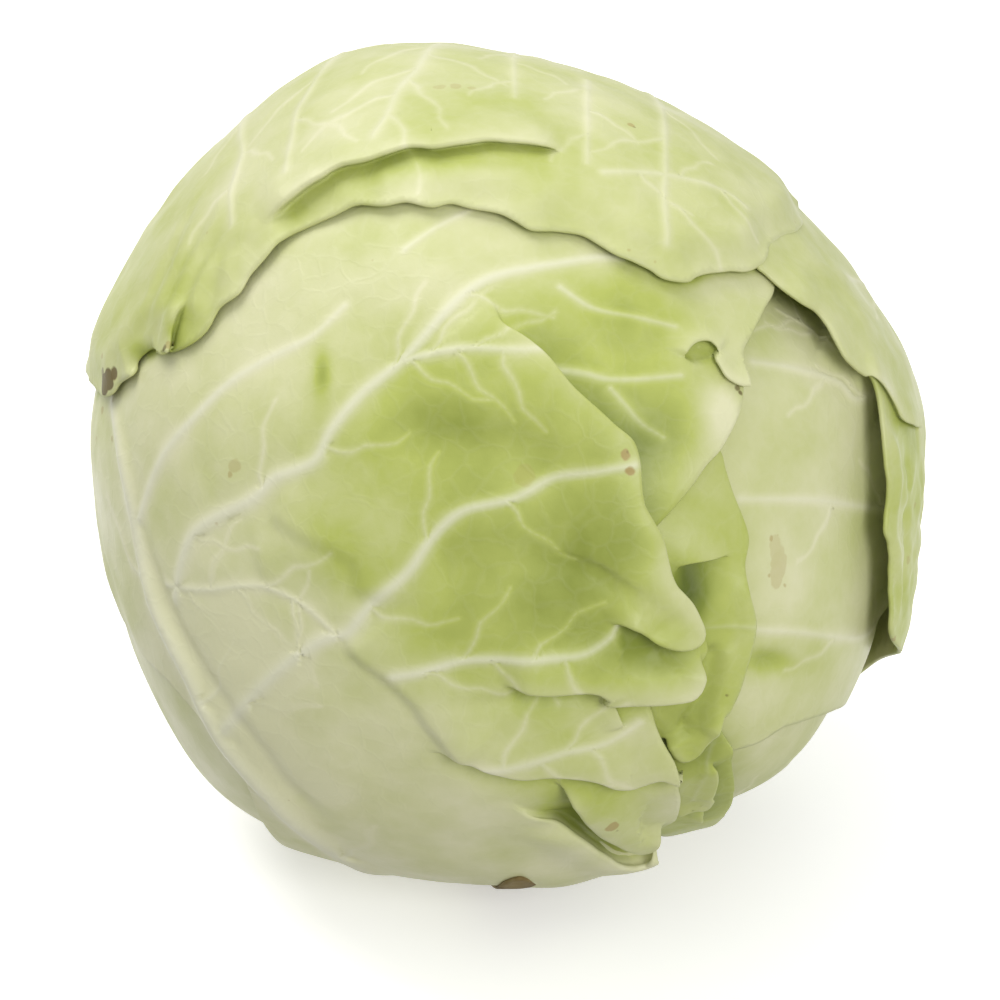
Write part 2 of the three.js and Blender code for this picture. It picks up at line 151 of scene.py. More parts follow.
# The heart is the tight mass of inner leaves that the outer ones stand out from. Its leaves
# wind round it, and their edges are low steps. Only slits between the outer leaves show it.
HEAD_DEPTH_RADIUS = 89 * MM
UNDER_CLEARANCE = 2.2 * MM
SHOULDER_WIDTH = 16 * MM
LOWEST_SIDE_SLOPE = -0.2
LIMB = np.array([411, 394, 393, 405, 428, 429, 453, 466, 434, 436, 446, 465, 446, 434, 437, 430, 433, 440])
LAYER_STEP = 2 * MM
LAYER = {"cap": 0, "side": 1, "stub": 1, "front": 2, "tucked": 3.1, "left": 3.1, "right": 4.2, "lower": 5.5}
VIEW_PASSES = 12
HEART_DEPTH = 13.2 * MM
HEART_WRAPS = 5
HEART_LEAN = 1.5
HEART_STEP = 1.2 * MM
HEART_ROWS = 120
HEART_COLUMNS = 240


def limb_radius(bearing):
    """How far the outermost layer reaches across the view, at a bearing clockwise from the top."""
    turn = (bearing / (2 * np.pi)) % 1 * len(LIMB)
    knot = np.floor(turn).astype(int)
    step = turn - knot
    before, start, end, after = (LIMB[(knot + k) % len(LIMB)] for k in (-1, 0, 1, 2))
    slope = (end - before) / 2
    next_slope = (after - start) / 2
    bend = 3 * (end - start) - 2 * slope - next_slope
    twist = 2 * (start - end) + slope + next_slope
    points = start + step * (slope + step * (bend + step * twist))
    return VIEW_DISTANCE * np.sin(np.arctan(points / VIEW_FOCAL))


def reach(dirs):
    """The outermost layer's distance from the head's middle, with a flattened underside."""
    facing = dirs @ TO_VIEWER
    bearing = np.arctan2(dirs[..., 0], dirs @ VIEW_UP)
    side = HEAD_DEPTH_RADIUS * facing ** 2 + limb_radius(bearing) * (1 - facing ** 2)
    under = (HEAD_MIDDLE[2] - UNDER_CLEARANCE) / -np.minimum(dirs[..., 2], LOWEST_SIDE_SLOPE)
    blend = np.maximum(SHOULDER_WIDTH - abs(side - under), 0) / SHOULDER_WIDTH
    low = np.minimum(side, under) - blend * blend * SHOULDER_WIDTH / 4
    return np.where(dirs[..., 2] > LOWEST_SIDE_SLOPE, side, low)


def unit(vectors):
    return vectors / np.linalg.norm(vectors, axis=-1, keepdims=True)


def seen(x, y, depth=0.0):
    """The direction from the head's middle of a picture point, on a layer at this depth."""
    across = np.array([x - VIEW_MIDDLE[0], VIEW_MIDDLE[1] - y], float)
    ray = np.arctan(np.hypot(*across) / VIEW_FOCAL)
    side = unit(np.array([across[0], 0, 0]) + VIEW_UP * across[1])
    way = side
    for _ in range(VIEW_PASSES):
        angle = np.arcsin(min(1, VIEW_DISTANCE * np.sin(ray) / (reach(way) - depth))) - ray
        way = side * np.sin(angle) + TO_VIEWER * np.cos(angle)
    return way


def at(longitude, latitude):
    """The direction of a longitude, from the front and positive to the right, and a latitude."""
    lon, lat = np.radians(longitude), np.radians(latitude)
    return np.stack([np.sin(lon) * np.cos(lat), -np.cos(lon) * np.cos(lat), np.sin(lat)], -1)


def new_mesh(name, points, faces):
    """An object whose smooth mesh holds these points and faces, in the head's own place."""
    mesh = bpy.data.meshes.new(name)
    mesh.from_pydata(np.asarray(points).tolist(), [], faces)
    mesh.validate()
    mesh.shade_smooth()
    piece = bpy.data.objects.new(name, mesh)
    bpy.context.collection.objects.link(piece)
    return piece


longitude, latitude = np.meshgrid(
    np.arange(HEART_COLUMNS) * 360 / HEART_COLUMNS, 90 - np.arange(1, HEART_ROWS) * 180 / HEART_ROWS)
turn = HEART_WRAPS * (longitude + HEART_LEAN * latitude) / 360
ways = np.concatenate([at(longitude, latitude).reshape(-1, 3), [[0, 0, 1], [0, 0, -1]]])
steps = np.append((turn % 1 * np.cos(np.radians(latitude))).ravel(), [0, 0]) * HEART_STEP
heart_points = HEAD_MIDDLE + ways * (reach(ways) - HEART_DEPTH - HEART_STEP + steps)[:, None]
heart_faces = []
for row in range(HEART_ROWS - 2):
    for column in range(HEART_COLUMNS):
        start, following = row * HEART_COLUMNS, (column + 1) % HEART_COLUMNS
        heart_faces.append((start + column, start + HEART_COLUMNS + column,
                            start + HEART_COLUMNS + following, start + following))
top, bottom = len(ways) - 2, len(ways) - 1
last_row = (HEART_ROWS - 2) * HEART_COLUMNS
for column in range(HEART_COLUMNS):
    following = (column + 1) % HEART_COLUMNS
    heart_faces.append((top, column, following))
    heart_faces.append((bottom, last_row + following, last_row + column))
heart = new_mesh("heart_leaves", heart_points, heart_faces)


# A leaf is a thin blade that lies on its own layer of the head. Its points are spread within its
# outline, closest along its ribs and pleats, and then lifted, folded and closed to a shell.
LEAF_THICKNESS = 0.9 * MM
INSIDE_SPACING = 3 * MM
INSIDE_REACH = 2.4 * MM
FRONT_SPACING = 0.55 * MM
BACK_SPACING = 1.8 * MM
ROW_HEIGHT = 0.866
ROOM_BETWEEN = 0.6
OUTWARD_SHARE = 0.6
RIM_BULGE = 0.3
PLEAT_ROWS = np.array([-4.6, -3.4, -2.4, -1.6, -1.0, -0.5, -0.2, 0, 0.2, 0.4, 0.6, 0.8, 1.0, 1.25, 1.5, 1.8,
                       2.5, 3.4]) * MM
LIP_RADIUS = 0.65 * MM
LIP_LENGTH = 1.0 * MM
LIP_FOOT = 1.8 * MM
LIP_TUCK = 0.3 * MM
LIP_EASE = 3.2 * MM
LIP_SHARE = 0.4
LIP_CURVE = 1.4
LEAN_WIDTH = 2 * MM
POCKET_WIDTH = 3 * MM
CREST_WIDTH = 2 * MM
REACH = 3
HEAP = 3
CREST_STEP = 4
CREST_CLEAR = 0.93
ROW_CLEAR = 0.85
POCKET_PAINTED_SHADE = 0.35
CREST_PAINTED_HIGHLIGHT = 0.12
RIB_ROWS = np.array([-1.5, -0.8, -0.35, 0, 0.35, 0.8, 1.5]) * MM
RIB_ROW_STEP = 0.8 * MM
RIB_LEAST_GIRTH = 0.9
VALLEY_WIDTH = 2.4
RIB_BLEACH = 0.4 * MM
RIB_ROOM = 0.3 * MM
VEIN_STEPS = 6
VEIN_TURN = 0.95
VEIN_BEND = 0.45
VEIN_WANDER = 0.3
VEIN_STRAY = 0.04
VEIN_THINNING = 0.2
VEIN_ROOT = 0.45


def smooth_line(ways, spacing, closed=False):
    """Directions along a smooth line through these, no further apart than this spacing."""
    ways = np.asarray(ways, float)
    if closed:
        knots = np.concatenate([ways[-1:], ways, ways[:2]])
    else:
        knots = np.concatenate([2 * ways[:1] - ways[1:2], ways, 2 * ways[-1:] - ways[-2:-1]])
    gaps = np.broadcast_to(spacing, len(knots) - 3)
    line = []
    for k, gap in enumerate(gaps):
        p = knots[k:k + 4]
        t = np.concatenate([[0], np.cumsum(np.sqrt(np.linalg.norm(p[1:] - p[:-1], axis=1) + 1e-9))])
        steps = max(1, int(np.ceil(np.linalg.norm(p[2] - p[1]) * HEAD_DEPTH_RADIUS / gap)))
        s = (t[1] + (t[2] - t[1]) * np.arange(steps) / steps)[:, None]
        a = [((t[i + 1] - s) * p[i] + (s - t[i]) * p[i + 1]) / (t[i + 1] - t[i]) for i in range(3)]
        b = [((t[i + 2] - s) * a[i] + (s - t[i]) * a[i + 1]) / (t[i + 2] - t[i]) for i in range(2)]
        line.append(((t[2] - s) * b[0] + (s - t[1]) * b[1]) / (t[2] - t[1]))
    if not closed:
        line.append(ways[-1:])
    return unit(np.concatenate(line))


def drawn(points, depth):
    """The directions of a line of picture points."""
    return np.array([seen(x, y, depth) for x, y in points])


def view_line(points, depth):
    """A fine smooth line through picture points."""
    return smooth_line(drawn(points, depth), FRONT_SPACING)


def on_head(points):
    """The directions of a line of longitudes and latitudes."""
    return np.array([at(lon, lat) for lon, lat in points])


def smoothstep(value, low, high):
    share = np.clip((value - low) / (high - low), 0, 1)
    return share * share * (3 - 2 * share)


def lay_flat(ways, middle):
    """Directions laid out flat round a middle one, in metres at the head's size."""
    east = unit(np.cross([0, 0, 1], middle))
    north = np.cross(middle, east)
    angle = np.arccos(np.clip(ways @ middle, -1, 1))
    spread = HEAD_DEPTH_RADIUS * angle / np.maximum(np.sin(angle), 1e-9)
    return np.stack([ways @ east * spread, ways @ north * spread], -1)


def wrap_round(flat, middle):
    """The directions of points that were laid out flat round a middle one."""
    east = unit(np.cross([0, 0, 1], middle))
    north = np.cross(middle, east)
    far = np.linalg.norm(flat, axis=-1, keepdims=True)
    side = (flat[:, :1] * east + flat[:, 1:] * north) / np.maximum(far, 1e-9)
    angle = far / HEAD_DEPTH_RADIUS
    return middle * np.cos(angle) + side * np.sin(angle)


def inside(points, ring):
    """Which flat points lie inside a closed ring."""
    within = np.zeros(len(points), bool)
    for start, end in zip(ring, np.roll(ring, -1, 0)):
        if start[1] != end[1]:
            between = (start[1] > points[:, 1]) != (end[1] > points[:, 1])
            crossing = start[0] + (points[:, 1] - start[1]) / (end[1] - start[1]) * (end[0] - start[0])
            within ^= between & (points[:, 0] < crossing)
    return within


def tree_of(points):
    """A search tree of flat or solid points."""
    tree = KDTree(len(points))
    for place, point in enumerate(points):
        tree.insert((*point, 0)[:3], place)
    tree.balance()
    return tree


def lattice_in(ring, spacing, taken, room):
    """Even flat points inside a ring, with this much room to the points in a search tree."""
    low, high = ring.min(0), ring.max(0)
    across, up = np.meshgrid(np.arange(low[0], high[0], spacing),
                             np.arange(low[1], high[1], spacing * ROW_HEIGHT))
    across = across + (np.arange(len(up)) % 2)[:, None] * spacing / 2
    points = np.stack([across.ravel(), up.ravel()], 1)
    points = points[inside(points, ring)]
    return np.array([point for point in points if taken.find((*point, 0))[2] > room])


def triangles(points, edges, ring):
    """Flat triangles inside the ring of the first points, their points, and where the ring's are."""
    edges = edges + [(k, (k + 1) % ring) for k in range(ring)]
    flat = [Vector(point) for point in (points / MM).tolist()]
    made = delaunay_2d_cdt(flat, edges, [], 0, 1e-4, True)
    flat, faces = np.array([tuple(point) for point in made[0]]) * MM, np.array(made[2])
    used, faces = np.unique(faces[inside(flat[faces].mean(1), points[:ring])], return_inverse=True)
    flat, faces = flat[used], faces.reshape(-1, 3)
    place_of = {source: place for place, sources in enumerate(made[3]) for source in sources}
    ring_places = np.searchsorted(used, [place_of[k] for k in range(ring)])
    a, b, c = (flat[faces[:, k]] for k in range(3))
    turned = (b - a)[:, 0] * (c - a)[:, 1] < (b - a)[:, 1] * (c - a)[:, 0]
    faces[turned] = faces[turned][:, ::-1]
    return flat, faces, ring_places


def border(faces):
    """The places round the edge of these triangles, in their own turning sense."""
    starts, ends = faces.ravel(), np.roll(faces, -1, 1).ravel()
    size = faces.max() + 1
    alone = ~np.isin(starts * size + ends, ends * size + starts)
    following = dict(zip(starts[alone].tolist(), ends[alone].tolist()))
    ring = [min(following)]
    while following[ring[-1]] != ring[0]:
        ring.append(following[ring[-1]])
    return np.array(ring)


def near(ways, line, most):
    """How far each direction lies from a line, its side, its share of the way, and the way to the left.

    The side is +1 on the left of one who walks along the line, and no place further off than most counts."""
    gap = np.full(len(ways), np.inf)
    side, along = np.zeros(len(ways)), np.zeros(len(ways))
    left = np.zeros((len(ways), 3))
    centre = unit(line.mean(0))
    radius = np.linalg.norm(line - centre, axis=1).max() + most / HEAD_DEPTH_RADIUS
    close = np.flatnonzero(np.linalg.norm(ways - centre, axis=1) < radius)
    points = ways[close]
    for k in range(len(line) - 1):
        start, span = line[k], line[k + 1] - line[k]
        share = np.clip((points - start) @ span / (span @ span), 0, 1)
        off = points - start - share[:, None] * span
        far = np.linalg.norm(off, axis=1) * HEAD_DEPTH_RADIUS
        better = far < gap[close]
        chosen = close[better]
        to_left = unit(np.cross(start, span))
        gap[chosen] = far[better]
        side[chosen] = np.sign(off[better] @ to_left)
        along[chosen] = (k + share[better]) / (len(line) - 1)
        left[chosen] = to_left
    return gap, side, along, left


def beside(line, offset):
    """The directions of a line moved this far to the right of one who walks along it."""
    right = unit(np.cross(np.gradient(line, axis=0), line))
    return unit(line + right * offset / HEAD_DEPTH_RADIUS)


def crest_of(lip, over):
    """The line along the top of a pleat, set back from the edge of its lip."""
    back = over + LIP_RADIUS
    crest = beside(lip, -back)
    crest = crest[near(crest, lip, back + MM)[0] > CREST_CLEAR * back]
    return smooth_line(np.concatenate([crest[:-CREST_STEP:CREST_STEP], crest[-1:]]), FRONT_SPACING)


def side_veins(ribs, shares, length, thick):
    """Veins that leave each of these ribs by turns to its left and right, and bend back along it.

    Sines of how many there are stand for chance, so each run grows the same veins."""
    veins = []
    for rib, rib_thick, rib_thin in ribs:
        line = smooth_line(rib, 2 * MM)
        for count, share in enumerate(shares):
            share += VEIN_STRAY * np.sin(3 * len(veins))
            way, ahead = line[int(share * (len(line) - 2)):][:2]
            ahead = ahead - way
            angle = (VEIN_TURN if count % 2 else -VEIN_TURN) * (1 + VEIN_WANDER * np.sin(5 * len(veins)))
            points = [way]
            for step in range(VEIN_STEPS):
                ahead = unit(ahead - way * (ahead @ way))
                bent = angle * (1 - VEIN_BEND * step / VEIN_STEPS)
                bent += VEIN_WANDER * np.sin(2 * step + len(veins))
                heading = ahead * np.cos(bent) + np.cross(way, ahead) * np.sin(bent)
                way = unit(way + heading * length * MM / VEIN_STEPS / HEAD_DEPTH_RADIUS)
                points.append(way)
            root = unit(points[0] + VEIN_ROOT * (points[1] - points[0]))
            veins.append((np.array([points[0], root]), rib_thick + (rib_thin - rib_thick) * share, thick))
            veins.append((np.array([root, *points[1:]]), thick, thick * VEIN_THINNING))
    return veins


def rows_beside(line, offsets, middle, rim, taken=None):
    """Rows of flat points beside a line within a rim, and which of them to keep.

    Those with no room to the points in a search tree are left out."""
    rows = []
    for offset in offsets:
        row = beside(line, offset)
        clear = near(row, line, abs(offset) + MM)[0] > ROW_CLEAR * abs(offset) - 1e-6
        row = lay_flat(row, middle)
        within = inside(row, rim)
        kept = clear & (within | np.roll(within, 1) | np.roll(within, -1))
        if taken:
            kept &= within & np.array([taken.find((*point, 0))[2] > RIB_ROOM for point in row])
        rows.append((row, kept))
    return rows


def spread_blade(middle, outline, depth, spacing, pleats=(), ribs=()):
    """A blade's points: even ones, with rows along its outline, its ribs and the crest of each pleat.

    The outline is a list of stretches, each some directions and how far apart its points lie. A pleat is
    the line of picture points where the edge of its lip shows, its lift, width, overhang and pocket in
    millimetres, and the shares of the line over which its two ends fade."""
    ways = np.concatenate([stretch for stretch, _ in outline])
    gaps = np.concatenate([[gap] * len(stretch) for stretch, gap in outline])
    rim = lay_flat(smooth_line(ways, gaps, closed=True), middle)
    after = np.roll(rim, -1, 0)
    if (rim[:, 0] * after[:, 1] - rim[:, 1] * after[:, 0]).sum() < 0:
        rim = rim[::-1]
    crests = [crest_of(view_line(line, depth), over * MM) for line, _, _, over, _, _ in pleats]
    rows = [row for crest in crests for row in rows_beside(crest, PLEAT_ROWS, middle, rim)]
    taken = tree_of(np.concatenate([rim, *(row[kept] for row, kept in rows)]))
    for line, thick, thin in ribs:
        girth = max((thick + thin) / 2, RIB_LEAST_GIRTH)
        rows += rows_beside(smooth_line(line, RIB_ROW_STEP), RIB_ROWS * girth, middle, rim, taken)
    points, edges = rim, []
    for row, kept in rows:
        place = len(points) - 1 + np.cumsum(kept)
        edges += [(place[k], place[k + 1]) for k in range(len(row) - 1) if kept[k] and kept[k + 1]]
        points = np.concatenate([points, row[kept]])
    lattice = lattice_in(rim, spacing, tree_of(points), ROOM_BETWEEN * spacing)
    flat, faces, _ = triangles(np.concatenate([points, lattice]), edges, len(rim))
    ways = wrap_round(flat, middle)
    rim_tree = tree_of(rim)
    leaf = {
        "middle": middle,
        "flat": flat,
        "faces": faces,
        "ways": ways,
        "edge": np.array([rim_tree.find((*point, 0))[2] for point in flat]),
        "depth": depth,
        "lift": np.zeros(len(ways)),
        "fold": np.zeros(len(ways)),
        "shift": np.zeros(ways.shape),
        "green": np.zeros(len(ways)),
    }
    for crest, (_, lift, width, over, pocket, ends) in zip(crests, pleats):
        press_pleat(leaf, crest, lift * MM, width * MM, over * MM, pocket * MM, ends)
    leaf["fold"] = leaf["fold"] ** (1 / HEAP)
    return leaf


def fade(along, ends):
    """1 along the middle of a line, and fading to 0 over these shares of it at its two ends."""
    return smoothstep(along, 0, ends[0] + 1e-6) * smoothstep(1 - along, 0, ends[1] + 1e-6)


def press_pleat(leaf, line, lift, width, over, pocket, ends):
    """A pleat of the leaf. The left of the line rises to a round lip that hangs over the low right side. Its
    pocket gets painted shade, and its crest a painted highlight.
    """
    gap, side, along, left = near(leaf["ways"], line, REACH * width)
    offset = np.where(side >= 0, -1, 1) * np.minimum(gap, 1)
    taper = fade(along, ends)
    radius = min(LIP_RADIUS, LIP_SHARE * lift)
    turn = np.pi * np.clip(offset / LIP_LENGTH, 0, 1)
    under = np.clip((offset - LIP_LENGTH) / (LIP_FOOT - LIP_LENGTH), 0, 1)
    foot = -LIP_TUCK - LIP_FOOT
    lean = over * np.exp(-(np.minimum(offset, 0) / (2 * over + LEAN_WIDTH)) ** 2)
    eased = foot * np.exp(-(np.maximum(offset - LIP_FOOT, 0) / LIP_EASE) ** 2)
    lip = over + radius * np.sin(turn) - offset
    down = (over - LIP_LENGTH) * (1 - under) + foot * under
    across = np.where(offset < 0, lean, np.where(under > 0, down, lip))
    across = np.where(offset > LIP_FOOT, eased, across)
    high = lift * np.exp(-(np.minimum(offset, 0) / width) ** 2) - radius * (1 - np.cos(turn))
    high = np.where(under > 0, (lift - 2 * radius) * (1 - under) ** LIP_CURVE, high)
    leaf["fold"] = leaf["fold"] + (np.maximum(high, 0) * taper) ** HEAP
    leaf["shift"] -= left * (across * taper)[:, None]
    hollow = np.where(offset > 0, np.exp(-((offset - LIP_FOOT) / (POCKET_WIDTH + width / 4)) ** 2), 0) * taper
    hollow *= smoothstep(offset, LIP_LENGTH, LIP_FOOT)
    leaf["lift"] -= hollow * pocket
    # Painted shade: the pocket under the lip is coloured a darker green.
    leaf["green"] += POCKET_PAINTED_SHADE * hollow * min(1, pocket / MM)
    # Painted highlight: the crest of the lip is coloured paler.
    leaf["green"] -= CREST_PAINTED_HIGHLIGHT * np.exp(-(offset / CREST_WIDTH) ** 2) * taper


def step_down(leaf, points, lift, width, drop, ends=(0.12, 0.12)):
    """A soft step along picture points, in millimetres. Its left stands higher, and its right drops away."""
    gap, side, along, _ = near(leaf["ways"], view_line(points, leaf["depth"]), REACH * width * MM)
    high = np.where(side >= 0, np.exp(-(gap / (width * MM)) ** 2), 1 - smoothstep(gap, 0, drop * MM))
    leaf["lift"] += high * fade(along, ends) * lift * MM


def ridge(leaf, points, height, width, ends=(0.15, 0.15)):
    """A rounded rise along picture points, in millimetres, or a groove where the height is under 0."""
    gap, _, along, _ = near(leaf["ways"], view_line(points, leaf["depth"]), REACH * width * MM)
    leaf["lift"] += height * MM * np.exp(-(np.minimum(gap, 1) / (width * MM)) ** 2) * fade(along, ends)


def painted_shade_line(leaf, points, amount, width):
    """Paints a green shade along picture points, as under the margin of a leaf above, where light comes
    through that leaf.
    """
    gap = near(leaf["ways"], view_line(points, leaf["depth"]), REACH * width * MM)[0]
    leaf["green"] += amount * np.exp(-(np.minimum(gap, 1) / (width * MM)) ** 2)


def around(leaf, x, y, wide, high):
    """A soft round patch at a picture point, 1 in its middle, with a half width and a half height."""
    point = HEAD_MIDDLE + leaf["ways"] * (reach(leaf["ways"]) - leaf["depth"])[:, None]
    from_middle = point - HEAD_MIDDLE
    scale = VIEW_FOCAL / (VIEW_DISTANCE - from_middle @ TO_VIEWER)
    across = VIEW_MIDDLE[0] + from_middle[:, 0] * scale - x
    down = VIEW_MIDDLE[1] - from_middle @ VIEW_UP * scale - y
    facing = smoothstep(leaf["ways"] @ TO_VIEWER, -0.1, 0.1)
    return np.exp(-(across / wide) ** 2 - (down / high) ** 2) * facing


def patches(leaf, marks):
    """The sum of soft round patches. Each is an amount, then its picture point and its half sizes."""
    return sum(amount * around(leaf, *patch) for amount, *patch in marks)


def facing_us(leaf):
    """1 where a leaf lies towards the front view, and 0 behind its limb."""
    return smoothstep(leaf["ways"] @ TO_VIEWER, 0.0, 0.3)


def rough(leaf, size, seed):
    """Even noise over the leaf from -1 to 1, whose swells are about this size."""
    points = leaf["ways"] * HEAD_DEPTH_RADIUS / size + seed
    return np.array([noise.noise(point) for point in points.tolist()])


def swell_between(leaf, ribs, valley=0.1, pale=0.18):
    """The leaf swells between its ribs, so each rib lies in a shallow valley, and is paler beside them."""
    dip, whitish = 0, 0
    for line, thick, thin in ribs:
        gap, _, along, _ = near(leaf["ways"], smooth_line(line, 2 * MM), 16 * MM)
        gap = np.minimum(gap, 1)
        girth = (thick + (thin - thick) * along) * MM
        dip = np.maximum(dip, valley * girth * np.exp(-(gap / (VALLEY_WIDTH * girth)) ** 2))
        whitish = np.maximum(whitish, np.exp(-(gap / (girth + RIB_BLEACH)) ** 2))
    leaf["lift"] -= dip
    leaf["green"] -= pale * whitish


def leaf_object(name, leaf):
    """The leaf as a closed mesh: its outer face, a coarser inner face, and a round rim between them."""
    ways, faces, flat = leaf["ways"], leaf["faces"], leaf["flat"]
    rest = HEAD_MIDDLE + ways * (reach(ways) - leaf["depth"])[:, None]
    outer = rest + ways * (leaf["lift"] + leaf["fold"])[:, None] + leaf["shift"]
    a, b, c = (outer[faces[:, k]] for k in range(3))
    normal = np.zeros(outer.shape)
    for corner in range(3):
        np.add.at(normal, faces[:, corner], np.cross(b - a, c - a))
    normal = unit(unit(normal) + OUTWARD_SHARE * ways)
    ring = border(faces)
    rim = flat[ring]
    deep = lattice_in(rim, INSIDE_SPACING, tree_of(rim), ROOM_BETWEEN * INSIDE_SPACING)
    inner_flat, inner_faces, inner_rim = triangles(np.concatenate([rim, deep]), [], len(rim))
    tree = tree_of(flat)
    far = np.linalg.norm(outer - HEAD_MIDDLE, axis=1)
    closest = [tree.find((*point, 0))[1] for point in inner_flat]
    around_them = [tree.find_range((*point, 0), INSIDE_REACH) for point in inner_flat]
    lowest = [far[[found[1] for found in close]].min() for close in around_them]
    inner_ways = wrap_round(inner_flat, leaf["middle"])
    inner = HEAD_MIDDLE + inner_ways * (np.array(lowest) - LEAF_THICKNESS)[:, None]
    inner[inner_rim] = outer[ring] - normal[ring] * LEAF_THICKNESS
    along = np.roll(outer[ring], -1, 0) - np.roll(outer[ring], 1, 0)
    outwards = unit(np.cross(along, normal[ring]))
    edge_row = (outer[ring] + inner[inner_rim]) / 2 + outwards * LEAF_THICKNESS * RIM_BULGE
    points = np.concatenate([outer, edge_row, inner])
    first_edge, first_inner = len(outer), len(outer) + len(ring)
    made = faces.tolist()
    made += (first_inner + inner_faces[:, ::-1]).tolist()
    for k, start in enumerate(ring.tolist()):
        after = (k + 1) % len(ring)
        low, high = first_inner + inner_rim[k], first_inner + inner_rim[after]
        made.append([int(ring[after]), start, first_edge + k, first_edge + after])
        made.append([first_edge + after, first_edge + k, int(low), int(high)])
    piece = new_mesh(name, points, made)
    skin = np.zeros(len(points))
    skin[:first_edge] = 1
    resting = np.concatenate([rest, points[first_edge:]])
    greens_and_shade = np.concatenate([leaf["green"], leaf["green"][ring], leaf["green"][closest]])
    marks = {"skin": skin, "green": greens_and_shade, "rest": resting, "outward": unit(points - HEAD_MIDDLE)}
    for key, values in marks.items():
        kind, field = ("FLOAT", "value") if values.ndim == 1 else ("FLOAT_VECTOR", "vector")
        layer = piece.data.attributes.new(key, kind, "POINT")
        layer.data.foreach_set(field, values.ravel())
    return piece


# Ribs stand out of a leaf along lines, and thin along the way. They are raised on the finished blade,
# and leave a mark there for the colour. A thin rib leaves a fainter one.
RIB_SPACING = 0.5 * MM
RIB_RISE = 0.2
RIB_WIDTH = 0.75
RIB_TINT_WIDTH = 0.62
WHITE_RIB_GIRTH = 1.5 * MM


def ribs_of(lines, depth):
    """Ribs on a layer. Each has points on the head, then picture points, and its girths in millimetres."""
    ribs = []
    for head_points, picture_points, thick, thin in lines:
        parts = [on_head(head_points)] if head_points else []
        parts += [drawn(picture_points, depth)] if picture_points else []
        ribs.append((np.concatenate(parts), thick, thin))
    return ribs


def rib_lines(ribs, depth):
    """A mesh of points along a leaf's ribs, each with the rib's girth there, which thins along the way."""
    points, girths = [], []
    for line, thick, thin in ribs:
        ways = smooth_line(line, RIB_SPACING)
        points.append(HEAD_MIDDLE + ways * (reach(ways) - depth)[:, None])
        girths.append(np.linspace(thick, thin, len(ways)) * MM)
    lines = new_mesh("rib_lines", np.concatenate(points), [])
    layer = lines.data.attributes.new("girth", "FLOAT", "POINT")
    layer.data.foreach_set("value", np.concatenate(girths))
    return lines


def rib_tree():
    """Geometry nodes that raise ribs along the lines on a leaf's outer face and mark them for the colour."""
    tree = bpy.data.node_groups.new("leaf_ribs", "GeometryNodeTree")
    sockets = {"Leaf": "Geometry", "Lines": "Object", "Rise": "Float", "Width": "Float",
               "Tint width": "Float",
               "Finish": "Material"}
    for name, kind in sockets.items():
        tree.interface.new_socket(name, in_out="INPUT", socket_type="NodeSocket" + kind)
    tree.interface.new_socket("Leaf", in_out="OUTPUT", socket_type="NodeSocketGeometry")
    given = tree.nodes.new("NodeGroupInput").outputs
    lines = add(tree, "GeometryNodeObjectInfo", Object=given["Lines"]).outputs["Geometry"]
    marks = {"rest": "FLOAT_VECTOR", "outward": "FLOAT_VECTOR", "skin": "FLOAT", "girth": "FLOAT"}
    rest, outward, skin, girth = (
        add(tree, "GeometryNodeInputNamedAttribute", {"data_type": kind, "Name": name}).outputs[0]
        for name, kind in marks.items())
    gap = add(tree, "GeometryNodeProximity", {"target_element": "POINTS"}, Geometry=lines,
              _2=rest).outputs["Distance"]
    nearest = add(tree, "GeometryNodeSampleNearest", {"domain": "POINT"}, Geometry=lines, _1=rest).outputs[0]
    here = add(tree, "GeometryNodeSampleIndex", {"data_type": "FLOAT", "domain": "POINT"},
               Geometry=lines, Value=girth, Index=nearest).outputs[0]
    humps = []
    for width in (given["Width"], given["Tint width"]):
        half = add(tree, "ShaderNodeMath", {"operation": "MULTIPLY"}, _0=here, _1=width).outputs[0]
        share = add(tree, "ShaderNodeMath", {"operation": "DIVIDE"}, _0=gap, _1=half).outputs[0]
        square = add(tree, "ShaderNodeMath", {"operation": "MULTIPLY"}, _0=share, _1=share).outputs[0]
        fall = add(tree, "ShaderNodeMath", {"operation": "MULTIPLY", 1: -1.0}, _0=square).outputs[0]
        humps.append(add(tree, "ShaderNodeMath", {"operation": "EXPONENT"}, _0=fall).outputs[0])
    rise = humps[0]
    for factor in (here, given["Rise"], skin):
        rise = add(tree, "ShaderNodeMath", {"operation": "MULTIPLY"}, _0=rise, _1=factor).outputs[0]
    offset = add(tree, "ShaderNodeVectorMath", {"operation": "SCALE"}, _0=outward, Scale=rise).outputs[0]
    moved = add(tree, "GeometryNodeSetPosition", Geometry=given["Leaf"], Offset=offset).outputs[0]
    share = add(tree, "ShaderNodeMath", {"operation": "DIVIDE", 1: WHITE_RIB_GIRTH}, _0=here).outputs[0]
    whiteness = add(tree, "ShaderNodeMath", {"operation": "MINIMUM", 1: 1.0}, _0=share).outputs[0]
    tint = add(tree, "ShaderNodeMath", {"operation": "MULTIPLY"}, _0=humps[1], _1=whiteness).outputs[0]
    mark = {"data_type": "FLOAT", "domain": "POINT", "Name": "rib"}
    marked = add(tree, "GeometryNodeStoreNamedAttribute", mark, Geometry=moved, Value=tint).outputs[0]
    real = add(tree, "GeometryNodeRealizeInstances", Geometry=marked).outputs[0]
    done = add(tree, "GeometryNodeSetMaterial", Geometry=real, Material=given["Finish"]).outputs[0]
    add(tree, "NodeGroupOutput", Leaf=done)
    return tree


leaf_ribs = rib_tree()


def grow(piece, group, values):
    """Runs geometry nodes on a piece with these inputs, and turns the result into a plain mesh."""
    modifier = piece.modifiers.new(group.name, "NODES")
    modifier.node_group = group
    for socket in group.interface.items_tree:
        if socket.in_out == "INPUT" and socket.name in values:
            modifier[socket.identifier] = values[socket.name]
    finished = bpy.data.meshes.new_from_object(piece.evaluated_get(bpy.context.evaluated_depsgraph_get()))
    finished.name = piece.name
    piece.modifiers.clear()
    piece.data = finished


